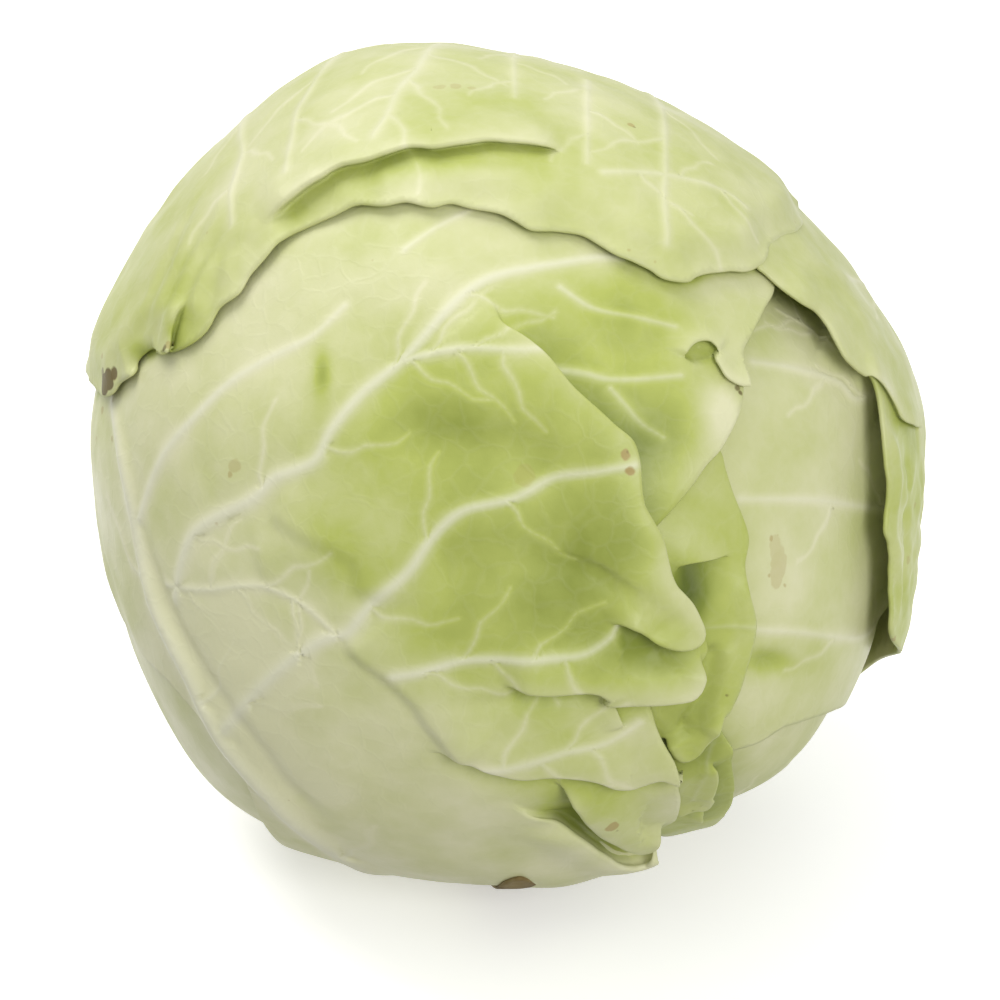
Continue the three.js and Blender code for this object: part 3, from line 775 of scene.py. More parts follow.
# Leaf tissue is a thin, watery sheet under a bloom of wax, which leaves a faint, broad gloss. It
# is green where it saw the light, whitish along its ribs, and pale where other leaves covered it.
PALE_LEAF = "#d2d1ac"
GREEN_LEAF = "#aab35e"
DEEP_LEAF = "#76822c"
# A painted shade: the colour of the darkest pockets and clefts, which the green mark reaches past its deepest
# green.
PAINTED_SHADE_LEAF = "#55611a"
GREENEST = 1.6
RIB_PALE = "#d9d8c4"
BLEMISH_TAN = "#a08a52"
BLEMISH_BROWN = "#5a4a24"
NET_SIZE = 5 * MM
NET_WARP = 12 * MM
NET_LINE = {"From Max": 0.12, "To Min": 1.0, "To Max": 0.0}
NET_SHARE = 0.035
NET_RISE = 0.2
CELL_SIZE = 0.5 * MM
CELL_RISE = 0.12
SURFACE_BUMP = {"Strength": 0.35, "Distance": 0.35 * MM}
MOTTLE_SIZE = 16 * MM
MOTTLE_GREEN = {"From Min": 0.3, "From Max": 0.7, "To Min": -0.14, "To Max": 0.14}
GREEN_AT = 0.55
WAX_LEAST, WAX_MOST = -0.06, 0.1
SPECK_SPACING = 9 * MM
SPECK_SPOT = {"From Min": 0.01, "From Max": 0.04, "To Min": 0.35, "To Max": 0.0}
SPECK_SHARE = 0.1
BLEMISH_BLUR = 0.35 * MM
BLEMISH_RAGGED = 2.2 * MM
LEAF_IOR = 1.42
LEAF_SPECULAR = 0.35


def point_seen(piece, x, y):
    """Where the line of sight through a picture point first meets a piece."""
    bpy.context.view_layer.update()
    way = -TO_VIEWER + VIEW_UP * (VIEW_MIDDLE[1] - y) / VIEW_FOCAL
    way[0] += (x - VIEW_MIDDLE[0]) / VIEW_FOCAL
    found, place, _, _ = piece.ray_cast(camera.location, Vector(way))
    return place if found else Vector(HEAD_MIDDLE + seen(x, y) * HEAD_DEPTH_RADIUS)


def blemish_mask(tree, place, piece, spots):
    """How much of a blemish there is. A spot is a picture point, a radius in mm and a strength."""
    mask = None
    for x, y, radius, strength in spots:
        centre = point_seen(piece, x, y)
        far = add(tree, "ShaderNodeVectorMath", {"operation": "DISTANCE", 1: centre},
                  _0=place).outputs["Value"]
        edge = {"From Min": radius * MM - BLEMISH_BLUR, "From Max": radius * MM, "To Min": strength,
                "To Max": 0.0}
        spot = add(tree, "ShaderNodeMapRange", edge, Value=far).outputs[0]
        if mask is not None:
            spot = add(tree, "ShaderNodeMath", {"operation": "MAXIMUM"}, _0=mask, _1=spot).outputs[0]
        mask = spot
    return mask


def leaf_tissue(name, piece, pale=PALE_LEAF, green=GREEN_LEAF, deep=DEEP_LEAF, wax=0.42, rib_share=0.6,
                tan=(), brown=()):
    """A leaf's finish. Its own marks say where it is green, in painted shade or ribbed, and the spots where
    it is hurt.
    """
    finish = bpy.data.materials.new(name)
    finish.use_nodes = True
    tree = finish.node_tree
    shader = tree.nodes["Principled BSDF"]
    place = add(tree, "ShaderNodeTexCoord").outputs["Object"]
    green_mark = add(tree, "ShaderNodeAttribute", {"attribute_name": "green"}).outputs["Fac"]
    rib_mark = add(tree, "ShaderNodeAttribute", {"attribute_name": "rib"}).outputs["Fac"]
    mottle = add(tree, "ShaderNodeTexNoise", {"Scale": 1 / MOTTLE_SIZE, "Detail": 4.0, "Roughness": 0.55},
                 Vector=place)
    fine = add(tree, "ShaderNodeTexNoise", {"Scale": 4 / MOTTLE_SIZE, "Detail": 3.0}, Vector=place)

    # The net of fine veins lies in cells that the mottle bends.
    warp = add(tree, "ShaderNodeVectorMath", {"operation": "SCALE", "Scale": NET_WARP},
               _0=mottle.outputs["Color"])
    bent = add(tree, "ShaderNodeVectorMath", {"operation": "ADD"}, _0=place, _1=warp.outputs[0]).outputs[0]
    net = add(tree, "ShaderNodeTexVoronoi", {"feature": "DISTANCE_TO_EDGE", "Scale": 1 / NET_SIZE},
              Vector=bent)
    net_line = add(tree, "ShaderNodeMapRange", NET_LINE, Value=net.outputs["Distance"]).outputs[0]

    # The green mark, which also carries painted shade and painted highlights, and the mottle choose the
    # blade's colour, and the net and the ribs whiten it.
    tone = add(tree, "ShaderNodeMapRange", MOTTLE_GREEN, Value=mottle.outputs["Fac"]).outputs[0]
    green_and_shade = add(tree, "ShaderNodeMath", {"operation": "ADD"}, _0=green_mark, _1=tone).outputs[0]
    green_and_shade = add(tree, "ShaderNodeMath", {"operation": "DIVIDE", 1: GREENEST}, _0=green_and_shade).outputs[0]
    ramp = add(tree, "ShaderNodeValToRGB", _0=green_and_shade)
    ramp.color_ramp.elements[0].color = linear(pale)
    ramp.color_ramp.elements[1].color = linear(PAINTED_SHADE_LEAF)
    ramp.color_ramp.elements.new(GREEN_AT / GREENEST).color = linear(green)
    ramp.color_ramp.elements.new(1 / GREENEST).color = linear(deep)
    color = ramp.outputs[0]
    for mark, share in ((net_line, NET_SHARE), (rib_mark, rib_share)):
        tint = add(tree, "ShaderNodeMath", {"operation": "MULTIPLY", 1: share}, _0=mark).outputs[0]
        color = add(tree, "ShaderNodeMix", {"data_type": "RGBA", 7: linear(RIB_PALE)}, _0=tint,
                    _6=color).outputs[2]

    # A few specks, and the spots where the leaf is hurt. Their edges are ragged.
    dots = add(tree, "ShaderNodeTexVoronoi", {"Scale": 1 / SPECK_SPACING}, Vector=place)
    dot = add(tree, "ShaderNodeMapRange", SPECK_SPOT, Value=dots.outputs["Distance"]).outputs[0]
    chance = add(tree, "ShaderNodeSeparateColor", Color=dots.outputs["Color"]).outputs["Red"]
    chosen = add(tree, "ShaderNodeMath", {"operation": "GREATER_THAN", 1: 1 - SPECK_SHARE},
                 _0=chance).outputs[0]
    speck = add(tree, "ShaderNodeMath", {"operation": "MULTIPLY"}, _0=dot, _1=chosen).outputs[0]
    ragged = add(tree, "ShaderNodeVectorMath", {"operation": "SCALE", "Scale": BLEMISH_RAGGED},
                 _0=fine.outputs["Color"])
    torn = add(tree, "ShaderNodeVectorMath", {"operation": "ADD"}, _0=place, _1=ragged.outputs[0])
    back = {"operation": "SUBTRACT", 1: [BLEMISH_RAGGED / 2] * 3}
    torn = add(tree, "ShaderNodeVectorMath", back, _0=torn.outputs[0]).outputs[0]
    masks = [(speck, BLEMISH_TAN)]
    for spots, shade in ((tan, BLEMISH_TAN), (brown, BLEMISH_BROWN)):
        if spots:
            masks.append((blemish_mask(tree, torn, piece, spots), shade))
    for mask, shade in masks:
        color = add(tree, "ShaderNodeMix", {"data_type": "RGBA", 7: linear(shade)}, _0=mask,
                    _6=color).outputs[2]
    tree.links.new(color, shader.inputs["Base Color"])

    # The wax is glossier in some places, and the skin is finely grained.
    cells = add(tree, "ShaderNodeTexNoise", {"Scale": 1 / CELL_SIZE, "Detail": 2.0}, Vector=place)
    gloss = {"From Min": 0.3, "From Max": 0.7, "To Min": wax + WAX_LEAST, "To Max": wax + WAX_MOST}
    gloss = add(tree, "ShaderNodeMapRange", gloss, Value=mottle.outputs["Fac"]).outputs[0]
    tree.links.new(gloss, shader.inputs["Roughness"])
    swell = add(tree, "ShaderNodeMath", {"operation": "MULTIPLY", 1: NET_RISE}, _0=net_line).outputs[0]
    grain = add(tree, "ShaderNodeMath", {"operation": "MULTIPLY_ADD", 1: CELL_RISE}, _0=cells.outputs["Fac"],
                _2=swell)
    bump = add(tree, "ShaderNodeBump", SURFACE_BUMP, Height=grain.outputs[0]).outputs[0]
    tree.links.new(bump, shader.inputs["Normal"])
    shader.inputs["IOR"].default_value = LEAF_IOR
    shader.inputs["Specular IOR Level"].default_value = LEAF_SPECULAR
    return finish


def finish_leaf(name, leaf, ribs, kind, **finish):
    """A leaf's finished piece: its closed blade, with its tissue on it and its ribs raised."""
    piece = leaf_object(name, leaf)
    tissue = leaf_tissue(kind, piece, **finish)
    lines = rib_lines(ribs, leaf["depth"])
    values = {"Lines": lines, "Rise": RIB_RISE, "Width": RIB_WIDTH, "Tint width": RIB_TINT_WIDTH,
              "Finish": tissue}
    grow(piece, leaf_ribs, values)
    piece.data.shade_smooth()
    bpy.data.objects.remove(lines)
    return piece


def settle(piece, node):
    """Hands a finished piece over to the frame, in the place of its plain solid."""
    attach(piece, "root")
    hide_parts(node)


def depth_of(name):
    return LAYER[name] * LAYER_STEP


# The heart has a pale leaf's tissue, and takes the place of its plain solid.
heart.data.materials.append(leaf_tissue("pale_heart_leaf", heart))
settle(heart, "heart")


# The margins of the cap leaf and the side leaf in the picture, which the leaves under them follow, and along
# which painted shade is laid on those leaves.
CAP_MARGIN = [[98, 393], [107, 380], [120, 371], [123, 358], [136, 345], [146, 345], [152, 352],
              [160, 348], [173, 344], [184, 336], [197, 323], [209, 304], [229, 288], [241, 269],
              [260, 248], [273, 233], [299, 218], [325, 207], [353, 196], [381, 197], [401, 193],
              [429, 198], [449, 194], [468, 198], [499, 205], [516, 213], [533, 222], [559, 222],
              [584, 227], [603, 237], [621, 249], [641, 257], [655, 263], [667, 271], [679, 275],
              [693, 276], [701, 271], [713, 267], [736, 264], [754, 264], [765, 260], [773, 252],
              [776, 240], [788, 230], [804, 224], [810, 211]]
SIDE_MARGIN = [[757, 262], [770, 273], [789, 292], [802, 303], [818, 312], [828, 324], [836, 338],
               [847, 356], [859, 368], [871, 379], [880, 396], [886, 430], [888, 470], [889, 504],
               [887, 531], [891, 546], [893, 581], [893, 610], [892, 632]]


# The stump is the cut stalk, whose flat face carries the head. A ring of tough bundles stands
# round its soft pith, and it has dried to tan at the rim.
STALK_PROFILE = MM * np.array([
    [0, 0.35], [2.4, 0.35], [3, 0], [9.6, 0], [10, 0.12], [12.4, 0.12], [12.8, 0], [15.8, 0], [16.2, 0.08],
    [16.6, 0.35], [16.95, 0.9], [16.6, 2.6], [15.4, 7.5], [14.2, 12.5], [0, 12.6]])
STALK_SIDES = 96
STALK_GRAIN = 0.12 * MM
STALK_EDGE = 0.9 * MM
STALK_CREAM = "#d9cda4"
STALK_TAN = "#a18a58"
STALK_GREEN = "#c3c496"
BUNDLE_TAN = "#a79a68"
DRIED_FROM_AXIS = {"From Min": 15 * MM, "From Max": 16.6 * MM}
GREEN_FROM_CUT = {"From Min": 1 * MM, "From Max": 4 * MM}
FIBRE_SIZE = 10 / 9 * MM
FIBRE_TAN = {"From Min": 0.55, "From Max": 0.8, "To Max": 0.35}
STALK_ROUGHNESS = 0.75
BUNDLES = 30
BUNDLE_RING = 11.2 * MM
BUNDLE_HEIGHT = 0.26 * MM
BUNDLE_RADIUS = 0.6 * MM
BUNDLE_SHAPE = (1.5, 0.8, 0.35)
BUNDLE_ROUGHNESS = 0.7
turns = np.arange(STALK_SIDES) * 2 * np.pi / STALK_SIDES
grain = STALK_GRAIN * np.sin(31 * turns) * np.sin(7 * turns)
stump_points = [[0, 0, STALK_PROFILE[0, 1]]]
for radius, height in STALK_PROFILE[1:-1]:
    out = radius + grain * (height > STALK_EDGE)
    stump_points += np.stack([out * np.cos(turns), out * np.sin(turns), height + 0 * turns], -1).tolist()
stump_points.append([0, 0, STALK_PROFILE[-1, 1]])
stump_faces = []
for column in range(STALK_SIDES):
    after = (column + 1) % STALK_SIDES
    stump_faces.append((0, 1 + after, 1 + column))
    for row in range(len(STALK_PROFILE) - 3):
        low, high = 1 + row * STALK_SIDES, 1 + (row + 1) * STALK_SIDES
        stump_faces.append((low + column, low + after, high + after, high + column))
    stump_faces.append((high + column, high + after, len(stump_points) - 1))
stump = new_mesh("cut_stalk", stump_points, stump_faces)

# The stalk's cut face is cream, with a dried tan rim, and its side is green above the cut.
stalk = bpy.data.materials.new("cut_cabbage_stalk")
stalk.use_nodes = True
tree = stalk.node_tree
place = add(tree, "ShaderNodeTexCoord").outputs["Object"]
parts = add(tree, "ShaderNodeSeparateXYZ", Vector=place)
flat = add(tree, "ShaderNodeCombineXYZ", X=parts.outputs["X"], Y=parts.outputs["Y"])
from_axis = add(tree, "ShaderNodeVectorMath", {"operation": "LENGTH"}, _0=flat.outputs[0]).outputs["Value"]
fibre = add(tree, "ShaderNodeTexNoise", {"Scale": 1 / FIBRE_SIZE, "Detail": 3.0}, Vector=place).outputs["Fac"]
dried = add(tree, "ShaderNodeMapRange", DRIED_FROM_AXIS, Value=from_axis).outputs[0]
green = add(tree, "ShaderNodeMapRange", GREEN_FROM_CUT, Value=parts.outputs["Z"]).outputs[0]
worn = add(tree, "ShaderNodeMapRange", FIBRE_TAN, Value=fibre).outputs[0]
color = add(tree, "ShaderNodeRGB").outputs[0]
color.default_value = linear(STALK_CREAM)
for mask, shade in ((dried, STALK_TAN), (green, STALK_GREEN), (worn, STALK_TAN)):
    color = add(tree, "ShaderNodeMix", {"data_type": "RGBA", 7: linear(shade)}, _0=mask, _6=color).outputs[2]
tree.links.new(color, tree.nodes["Principled BSDF"].inputs["Base Color"])
tree.nodes["Principled BSDF"].inputs["Roughness"].default_value = STALK_ROUGHNESS
bundle = bpy.data.materials.new("tough_bundle_tissue")
bundle.use_nodes = True
bundle.node_tree.nodes["Principled BSDF"].inputs["Base Color"].default_value = linear(BUNDLE_TAN)
bundle.node_tree.nodes["Principled BSDF"].inputs["Roughness"].default_value = BUNDLE_ROUGHNESS


def bundle_tree():
    """Geometry nodes that set a ring of flattened bundles into a stalk's cut face."""
    tree = bpy.data.node_groups.new("stalk_bundles", "GeometryNodeTree")
    sockets = {"Stalk": "Geometry", "Count": "Int", "Ring": "Float", "Stalk finish": "Material",
               "Bundle finish": "Material"}
    for name, kind in sockets.items():
        tree.interface.new_socket(name, in_out="INPUT", socket_type="NodeSocket" + kind)
    tree.interface.new_socket("Stalk", in_out="OUTPUT", socket_type="NodeSocketGeometry")
    given = tree.nodes.new("NodeGroupInput").outputs
    ring = add(tree, "GeometryNodeMeshCircle", Vertices=given["Count"], Radius=given["Ring"]).outputs[0]
    raised = add(tree, "GeometryNodeTransform", {"Translation": (0, 0, BUNDLE_HEIGHT)},
                 Geometry=ring).outputs[0]
    knob = add(tree, "GeometryNodeMeshIcoSphere", {"Radius": BUNDLE_RADIUS, "Subdivisions": 2}).outputs[0]
    knob = add(tree, "GeometryNodeTransform", {"Scale": BUNDLE_SHAPE}, Geometry=knob).outputs[0]
    where = add(tree, "GeometryNodeInputPosition").outputs[0]
    outward = add(tree, "FunctionNodeAlignRotationToVector", {"axis": "X"}, Vector=where).outputs[0]
    knobs = add(tree, "GeometryNodeInstanceOnPoints", Points=raised, Instance=knob,
                Rotation=outward).outputs[0]
    real = add(tree, "GeometryNodeRealizeInstances", Geometry=knobs).outputs[0]
    knobs = add(tree, "GeometryNodeSetMaterial", Geometry=real, Material=given["Bundle finish"]).outputs[0]
    body = add(tree, "GeometryNodeSetMaterial", Geometry=given["Stalk"],
               Material=given["Stalk finish"]).outputs[0]
    both = tree.nodes.new("GeometryNodeJoinGeometry")
    tree.links.new(body, both.inputs[0])
    tree.links.new(knobs, both.inputs[0])
    add(tree, "NodeGroupOutput", Stalk=both.outputs[0])
    return tree


grow(stump, bundle_tree(), {"Count": BUNDLES, "Ring": BUNDLE_RING, "Stalk finish": stalk,
                            "Bundle finish": bundle})
settle(stump, "stump")


# The right leaf is pale, tight and smooth, as an inner leaf is that the light hardly reached.
# It grew round the heart from the stalk, and its veins stand out a little as whitish ribs.
depth = depth_of("right")
right_outline = [
    (drawn([[650, 300], [630, 420], [615, 560], [620, 680], [650, 745]], depth), BACK_SPACING),
    (drawn([[724, 757], [731, 752], [756, 744], [782, 728], [801, 722], [820, 716], [839, 709]], depth),
     FRONT_SPACING),
    (on_head([[82, -36], [93, -57], [116, -74.5], [128, -75.5], [138, -58], [140, -30], [146, 0]]),
     BACK_SPACING),
    (on_head([[140, 30], [110, 50], [70, 60], [42, 56]]), BACK_SPACING),
]
right_ribs = ribs_of([
    ([[119, -72], [110, -40], [104, 0], [98, 36]], [], 3.6, 1.6),
    ([[107, -24], [96, -16]], [[871, 630], [800, 632], [753, 630]], 1.4, 0.9),
    ([[104, -4], [96, -2]], [[883, 505], [812, 500], [740, 499]], 1.4, 0.9),
    ([[103, 14], [94, 18]], [[851, 400], [836, 384], [812, 373], [753, 362]], 1.4, 0.9),
    ([], [[824, 348], [812, 332], [777, 309]], 0.9, 0.6),
], depth)
right_ribs += side_veins(right_ribs[:1], (0.2, 0.45, 0.7), 36, 1.2)
right_ribs += side_veins(right_ribs[1:], (0.2, 0.4, 0.6, 0.8), 17, 0.5)
right = spread_blade(at(86, 28), right_outline, depth, 1.0 * MM, ribs=right_ribs)
right["lift"] += 0.35 * MM * rough(right, 16 * MM, 3)
ridge(right, SIDE_MARGIN[2:], 4.2, 10, ends=(0.25, 0.12))
# Painted shade: a green band under the side leaf's margin, where that margin shades the right leaf.
painted_shade_line(right, SIDE_MARGIN, 0.4, 2.2)
right["lift"] -= 1.3 * MM * around(right, 768, 662, 20, 11)
# The first patch is a painted shadow, cast by the tucked leaf's margin into the dent below it.
right["green"] += 0.12 + patches(right, [
    (0.45, 768, 664, 24, 12), (0.2, 720, 600, 40, 200), (0.15, 810, 650, 50, 40), (0.15, 790, 330, 60, 40),
    (0.15, 800, 735, 90, 25), (0.12, 810, 440, 50, 40), (0.12, 830, 560, 40, 50)
])
swell_between(right, right_ribs)
right_leaf = finish_leaf(
    "right_leaf_blade", right, right_ribs, "pale_right_leaf", rib_share=0.45,
    tan=[(775, 545, 1.9, 0.25), (777, 553, 2.2, 0.25), (779, 562, 2.4, 0.28), (778, 571, 2.3, 0.3),
         (777, 579, 1.8, 0.3), (771, 539, 0.7, 0.6), (778, 536, 0.5, 0.5), (769, 575, 0.6, 0.5),
         (786, 584, 0.5, 0.5), (884, 560, 0.4, 0.4)])
settle(right_leaf, "right_leaf")


# The lower leaf lies under the right one, and its margin turns under the head at the right.
depth = depth_of("lower")
lower_outline = [
    (on_head([[8, -30], [20, -16], [46, -12], [72, -14]]), BACK_SPACING),
    (on_head([[90, -26], [86, -44], [72, -62], [60, -73], [40, -74], [22, -70], [8, -56]]), BACK_SPACING),
]
lower_ribs = ribs_of([
    ([[50, -72], [52, -56], [56, -36]], [], 2.6, 1.6),
    ([[51, -60], [64, -46], [74, -36]], [], 1.1, 0.7),
    ([[54, -46], [38, -36], [26, -30]], [], 1.1, 0.7),
], depth)
lower_ribs += side_veins(lower_ribs, (0.35, 0.6, 0.8), 14, 0.6)
lower = spread_blade(at(50, -42), lower_outline, depth, 1.2 * MM, ribs=lower_ribs)
lower["lift"] += 0.4 * MM * rough(lower, 14 * MM, 5)
lower["green"] += 0.1 + 0.2 * around(lower, 740, 790, 60, 50)
swell_between(lower, lower_ribs)
lower_leaf = finish_leaf("lower_leaf_blade", lower, lower_ribs, "pale_lower_leaf")
settle(lower_leaf, "lower_leaf")


# The left leaf comes out under the front one at the lower left, and turns in under the head.
depth = depth_of("left")
left_outline = [
    (on_head([[-30, -34], [-36, -16], [-58, -5], [-88, 6], [-116, 15], [-146, 20], [-168, 10],
              [-176, -14]]), BACK_SPACING),
    (on_head([[-170, -46], [-152, -68], [-124, -77], [-94, -77], [-66, -74], [-38, -58]]), BACK_SPACING),
]
left_ribs = ribs_of([
    ([[-110, -74], [-114, -44], [-120, -10], [-126, 6]], [], 4.2, 1.8),
    ([[-115, -30], [-98, -16], [-84, -6]], [], 1.4, 0.8),
    ([[-113, -46], [-92, -38], [-76, -30]], [], 1.4, 0.8),
    ([[-116, -30], [-136, -14], [-150, 0]], [], 1.4, 0.8),
], depth)
left_ribs += side_veins(left_ribs[1:], (0.2, 0.4, 0.6, 0.8), 20, 0.6)
left = spread_blade(at(-110, -28), left_outline, depth, 1.3 * MM, ribs=left_ribs)
left["lift"] += 0.9 * MM + 0.3 * MM * rough(left, 16 * MM, 7)
left["green"] += 0.1
swell_between(left, left_ribs)
left_leaf = finish_leaf("left_leaf_blade", left, left_ribs, "pale_left_leaf")
settle(left_leaf, "left_leaf")


# The tucked leaf lies creased in the cleft between the front leaf and the right one. It is
# thin and bright green there, with a deep pocket and small crumpled lobes at its lower end.
depth = depth_of("tucked")
tucked_outline = [
    (drawn([[719, 450], [726, 470], [733, 492], [747, 530], [749, 541], [745, 568], [745, 588], [752, 614],
            [753, 622], [751, 640], [744, 665], [737, 687]], depth), FRONT_SPACING),
    (drawn([[728, 706], [724, 722], [726, 738], [733, 752], [736, 770], [736, 790], [732, 806], [722, 818],
            [700, 830], [670, 836]], depth), FRONT_SPACING),
    (drawn([[644, 780], [632, 710], [628, 620], [640, 530], [672, 440]], depth), BACK_SPACING),
]
tucked_pleats = [
    ([[672, 574], [684, 567], [707, 562], [738, 555]], 0.8, 6, 0.4, 0.6, (0.3, 0.4)),
    ([[662, 738], [670, 752], [680, 757], [694, 752], [704, 740], [716, 722], [728, 704]], 2.0, 4, 0.8, 1.0,
     (0.1, 0.3)),
    ([[700, 822], [706, 806], [714, 792], [718, 776], [714, 760]], 1.2, 2.5, 0.8, 0.8, (0.12, 0.12)),
    ([[676, 816], [690, 810], [704, 806], [712, 796]], 1.0, 2.2, 0.7, 0.8, (0.12, 0.12)),
]
tucked_ribs = ribs_of([
    ([], [[750, 624], [724, 626], [704, 628]], 0.8, 0.5),
    ([], [[690, 800], [704, 770], [722, 730]], 0.7, 0.5),
], depth)
tucked = spread_blade(seen(690, 650, depth), tucked_outline, depth, 0.7 * MM, tucked_pleats, tucked_ribs)
tucked["lift"] += 0.3 * MM * rough(tucked, 9 * MM, 9)
ridge(tucked, [[744, 560], [746, 600], [748, 630], [738, 672], [722, 712], [704, 744]], 1.3, 2.6)
ridge(tucked, [[714, 640], [708, 680], [696, 712], [680, 738]], -1.4, 2.2)
ridge(tucked, [[728, 640], [722, 680], [712, 706], [698, 732]], 0.7, 1.8)
tucked["lift"] -= 0.5 * MM * around(tucked, 690, 596, 14, 22)
# The first patch paints the shade of the deep pocket, in dark green.
tucked["green"] += 0.52 + patches(tucked, [(1.1, 689, 592, 17, 26), (0.2, 700, 690, 26, 60)])
tucked_leaf = finish_leaf(
    "tucked_leaf_blade", tucked, tucked_ribs, "green_tucked_leaf", rib_share=0.4,
    brown=[(729, 694, 0.5, 0.6)])
settle(tucked_leaf, "tucked_leaf")


# The front leaf is the largest, and covers the left and the front. Its right margin is
# gathered in pleats, which lie over each other from the top down and leave dark pockets.
depth = depth_of("front")
front_outline = [
    (drawn([[700, 225], [750, 236]], depth), 1.0 * MM),
    (drawn([[767, 272], [774, 286], [764, 309], [752, 333], [744, 350], [747, 376], [747, 396], [742, 409],
            [735, 424], [721, 449], [707, 464], [693, 484], [682, 498], [672, 512]], depth), FRONT_SPACING),
    (drawn([[664, 526], [666, 542], [671, 562], [679, 579], [691, 594], [700, 607], [706, 627], [710, 650],
            [709, 670], [705, 686], [699, 698], [684, 702], [668, 703], [653, 706]], depth), FRONT_SPACING),
    (drawn([[654, 722], [659, 737], [665, 748], [672, 758], [677, 771], [677, 787], [680, 802], [678, 818],
            [671, 829], [663, 838], [656, 844], [653, 850], [646, 857], [624, 866], [594, 878], [571, 886],
            [553, 884], [541, 879]], depth), FRONT_SPACING),
    (on_head([[2, -62], [-14, -73], [-34, -77.4], [-52, -76.5], [-62, -66]]), BACK_SPACING),
    (drawn([[241, 775], [215, 737], [185, 702], [160, 674], [134, 646]], depth), 1.2 * MM),
    (on_head([[-100, 2], [-122, 20], [-134, 38], [-126, 56], [-90, 68]]), BACK_SPACING),
    (drawn([[400, 140], [500, 145], [600, 175]], depth), BACK_SPACING),
]
front_pleats = [
    ([[606, 630], [620, 625], [635, 628], [656, 641], [678, 646], [694, 641], [700, 631], [694, 611],
      [686, 597], [671, 580], [665, 562], [659, 538], [648, 517], [641, 504], [638, 486], [636, 461],
      [629, 441], [615, 429], [600, 415], [569, 386], [547, 357], [527, 338], [505, 322], [492, 300],
      [470, 287]], 3.0, 10, 0.8, 1.0, (0.06, 0.25)),
    ([[498, 690], [514, 688], [548, 690], [584, 688], [597, 690], [612, 698], [640, 700], [672, 698],
      [690, 694], [699, 684], [704, 668], [705, 652]], 2.6, 7, 0.9, 1.6, (0.15, 0.1)),
    ([[420, 752], [441, 754], [469, 758], [490, 766], [522, 773], [545, 771], [570, 771], [596, 775],
      [613, 781], [629, 781], [645, 776], [658, 773], [672, 778], [688, 784]], 2.4, 7, 0.9, 1.4,
     (0.2, 0.08)),
    ([[546, 784], [559, 789], [572, 800], [585, 817], [596, 828], [613, 836], [631, 842], [646, 841],
      [657, 834], [668, 822]], 2.8, 7, 0.9, 1.4, (0.2, 0.15)),
    ([[652, 846], [638, 852], [622, 853], [605, 848], [579, 835], [553, 822], [527, 812], [503, 800]], 2.4,
     6, 0.6, 1.6, (0.05, 0.35)),
    ([[626, 728], [620, 716], [612, 706], [604, 694]], 0.9, 3, 0.5, 0.6, (0.12, 0.12)),
    ([[686, 359], [690, 350], [697, 344], [706, 343], [714, 346], [720, 354]], 1.0, 2.5, 0.5, 0.9,
     (0.12, 0.12)),
    ([[708, 355], [714, 362], [719, 370], [724, 378], [732, 384], [742, 388], [752, 388]], 1.1, 3, 0.7, 0.6,
     (0.15, 0.0)),
]
MIDRIB = [[338, 852], [298, 823], [257, 783], [220, 737], [185, 667], [153, 600], [136, 521], [120, 440],
          [112, 400]]
front_ribs = ribs_of([
    ([[-40, -76], [-30, -58]], MIDRIB, 5.5, 2.0),
    ([], [[175, 600], [193, 536], [257, 496], [273, 479], [315, 460], [331, 431], [362, 393], [401, 361],
          [433, 326], [464, 294], [490, 278], [530, 268], [560, 263], [591, 258], [621, 257]], 2.2, 1.2),
    ([], [[401, 361], [429, 354], [473, 349], [521, 354], [543, 354]], 1.4, 0.9),
    ([], [[225, 730], [250, 700], [286, 665], [324, 640], [347, 633], [369, 607], [409, 571], [433, 537],
          [461, 512], [515, 498], [553, 478], [591, 472], [626, 466]], 2.4, 1.1),
    ([], [[165, 585], [205, 590], [241, 586], [263, 587], [292, 598], [311, 611], [338, 638]], 1.2, 0.8),
    ([], [[394, 674], [433, 668], [461, 661], [502, 659], [543, 656], [584, 651], [604, 641], [620, 627]],
     1.6, 1.1),
    ([], [[469, 761], [522, 757], [563, 747], [604, 741], [624, 733], [641, 724]], 1.3, 0.8),
    ([], [[560, 362], [591, 373], [606, 378], [637, 379], [682, 375]], 1.0, 0.6),
    ([], [[560, 287], [591, 307], [637, 317], [675, 326]], 0.9, 0.5),
    ([], [[611, 387], [646, 424], [664, 437]], 0.8, 0.5),
    ([], [[405, 250], [440, 225], [480, 205]], 0.9, 0.6),
    ([], [[140, 520], [163, 457], [191, 421], [228, 384], [267, 359], [312, 336], [345, 305]], 2.0, 0.9),
], depth)
front_ribs += side_veins(front_ribs[:1], (0.3, 0.46, 0.62, 0.78), 26, 0.9)
front_ribs += side_veins(front_ribs[1:7], (0.12, 0.28, 0.44, 0.6, 0.76), 18, 0.5)
front = spread_blade(seen(420, 520, depth), front_outline, depth, 0.85 * MM, front_pleats, front_ribs)
front["lift"] += 0.35 * MM * rough(front, 18 * MM, 11) + 0.12 * MM * rough(front, 6 * MM, 12)
step_down(front, [[268, 504], [311, 531], [343, 544], [362, 560], [366, 579], [365, 604]], 0.9, 9, 4)
step_down(front, [[347, 633], [362, 652], [388, 671], [420, 700], [433, 719], [458, 744], [474, 757]], 1.4,
          9, 3.5)
ridge(front, [[560, 556], [571, 564], [596, 574], [620, 590], [642, 606], [656, 620], [661, 634]], -1.0,
      2.6, ends=(0.3, 0.1))
ridge(front, [[582, 556], [606, 566], [634, 584], [655, 602], [668, 622]], 0.4, 3)
ridge(front, [[392, 416], [440, 440], [500, 452], [560, 450]], -0.8, 5)
ridge(front, [[420, 560], [480, 570], [540, 560], [590, 560]], -0.9, 6)
ridge(front, [[520, 330], [560, 340], [600, 348], [640, 350], [690, 342]], -0.7, 4)
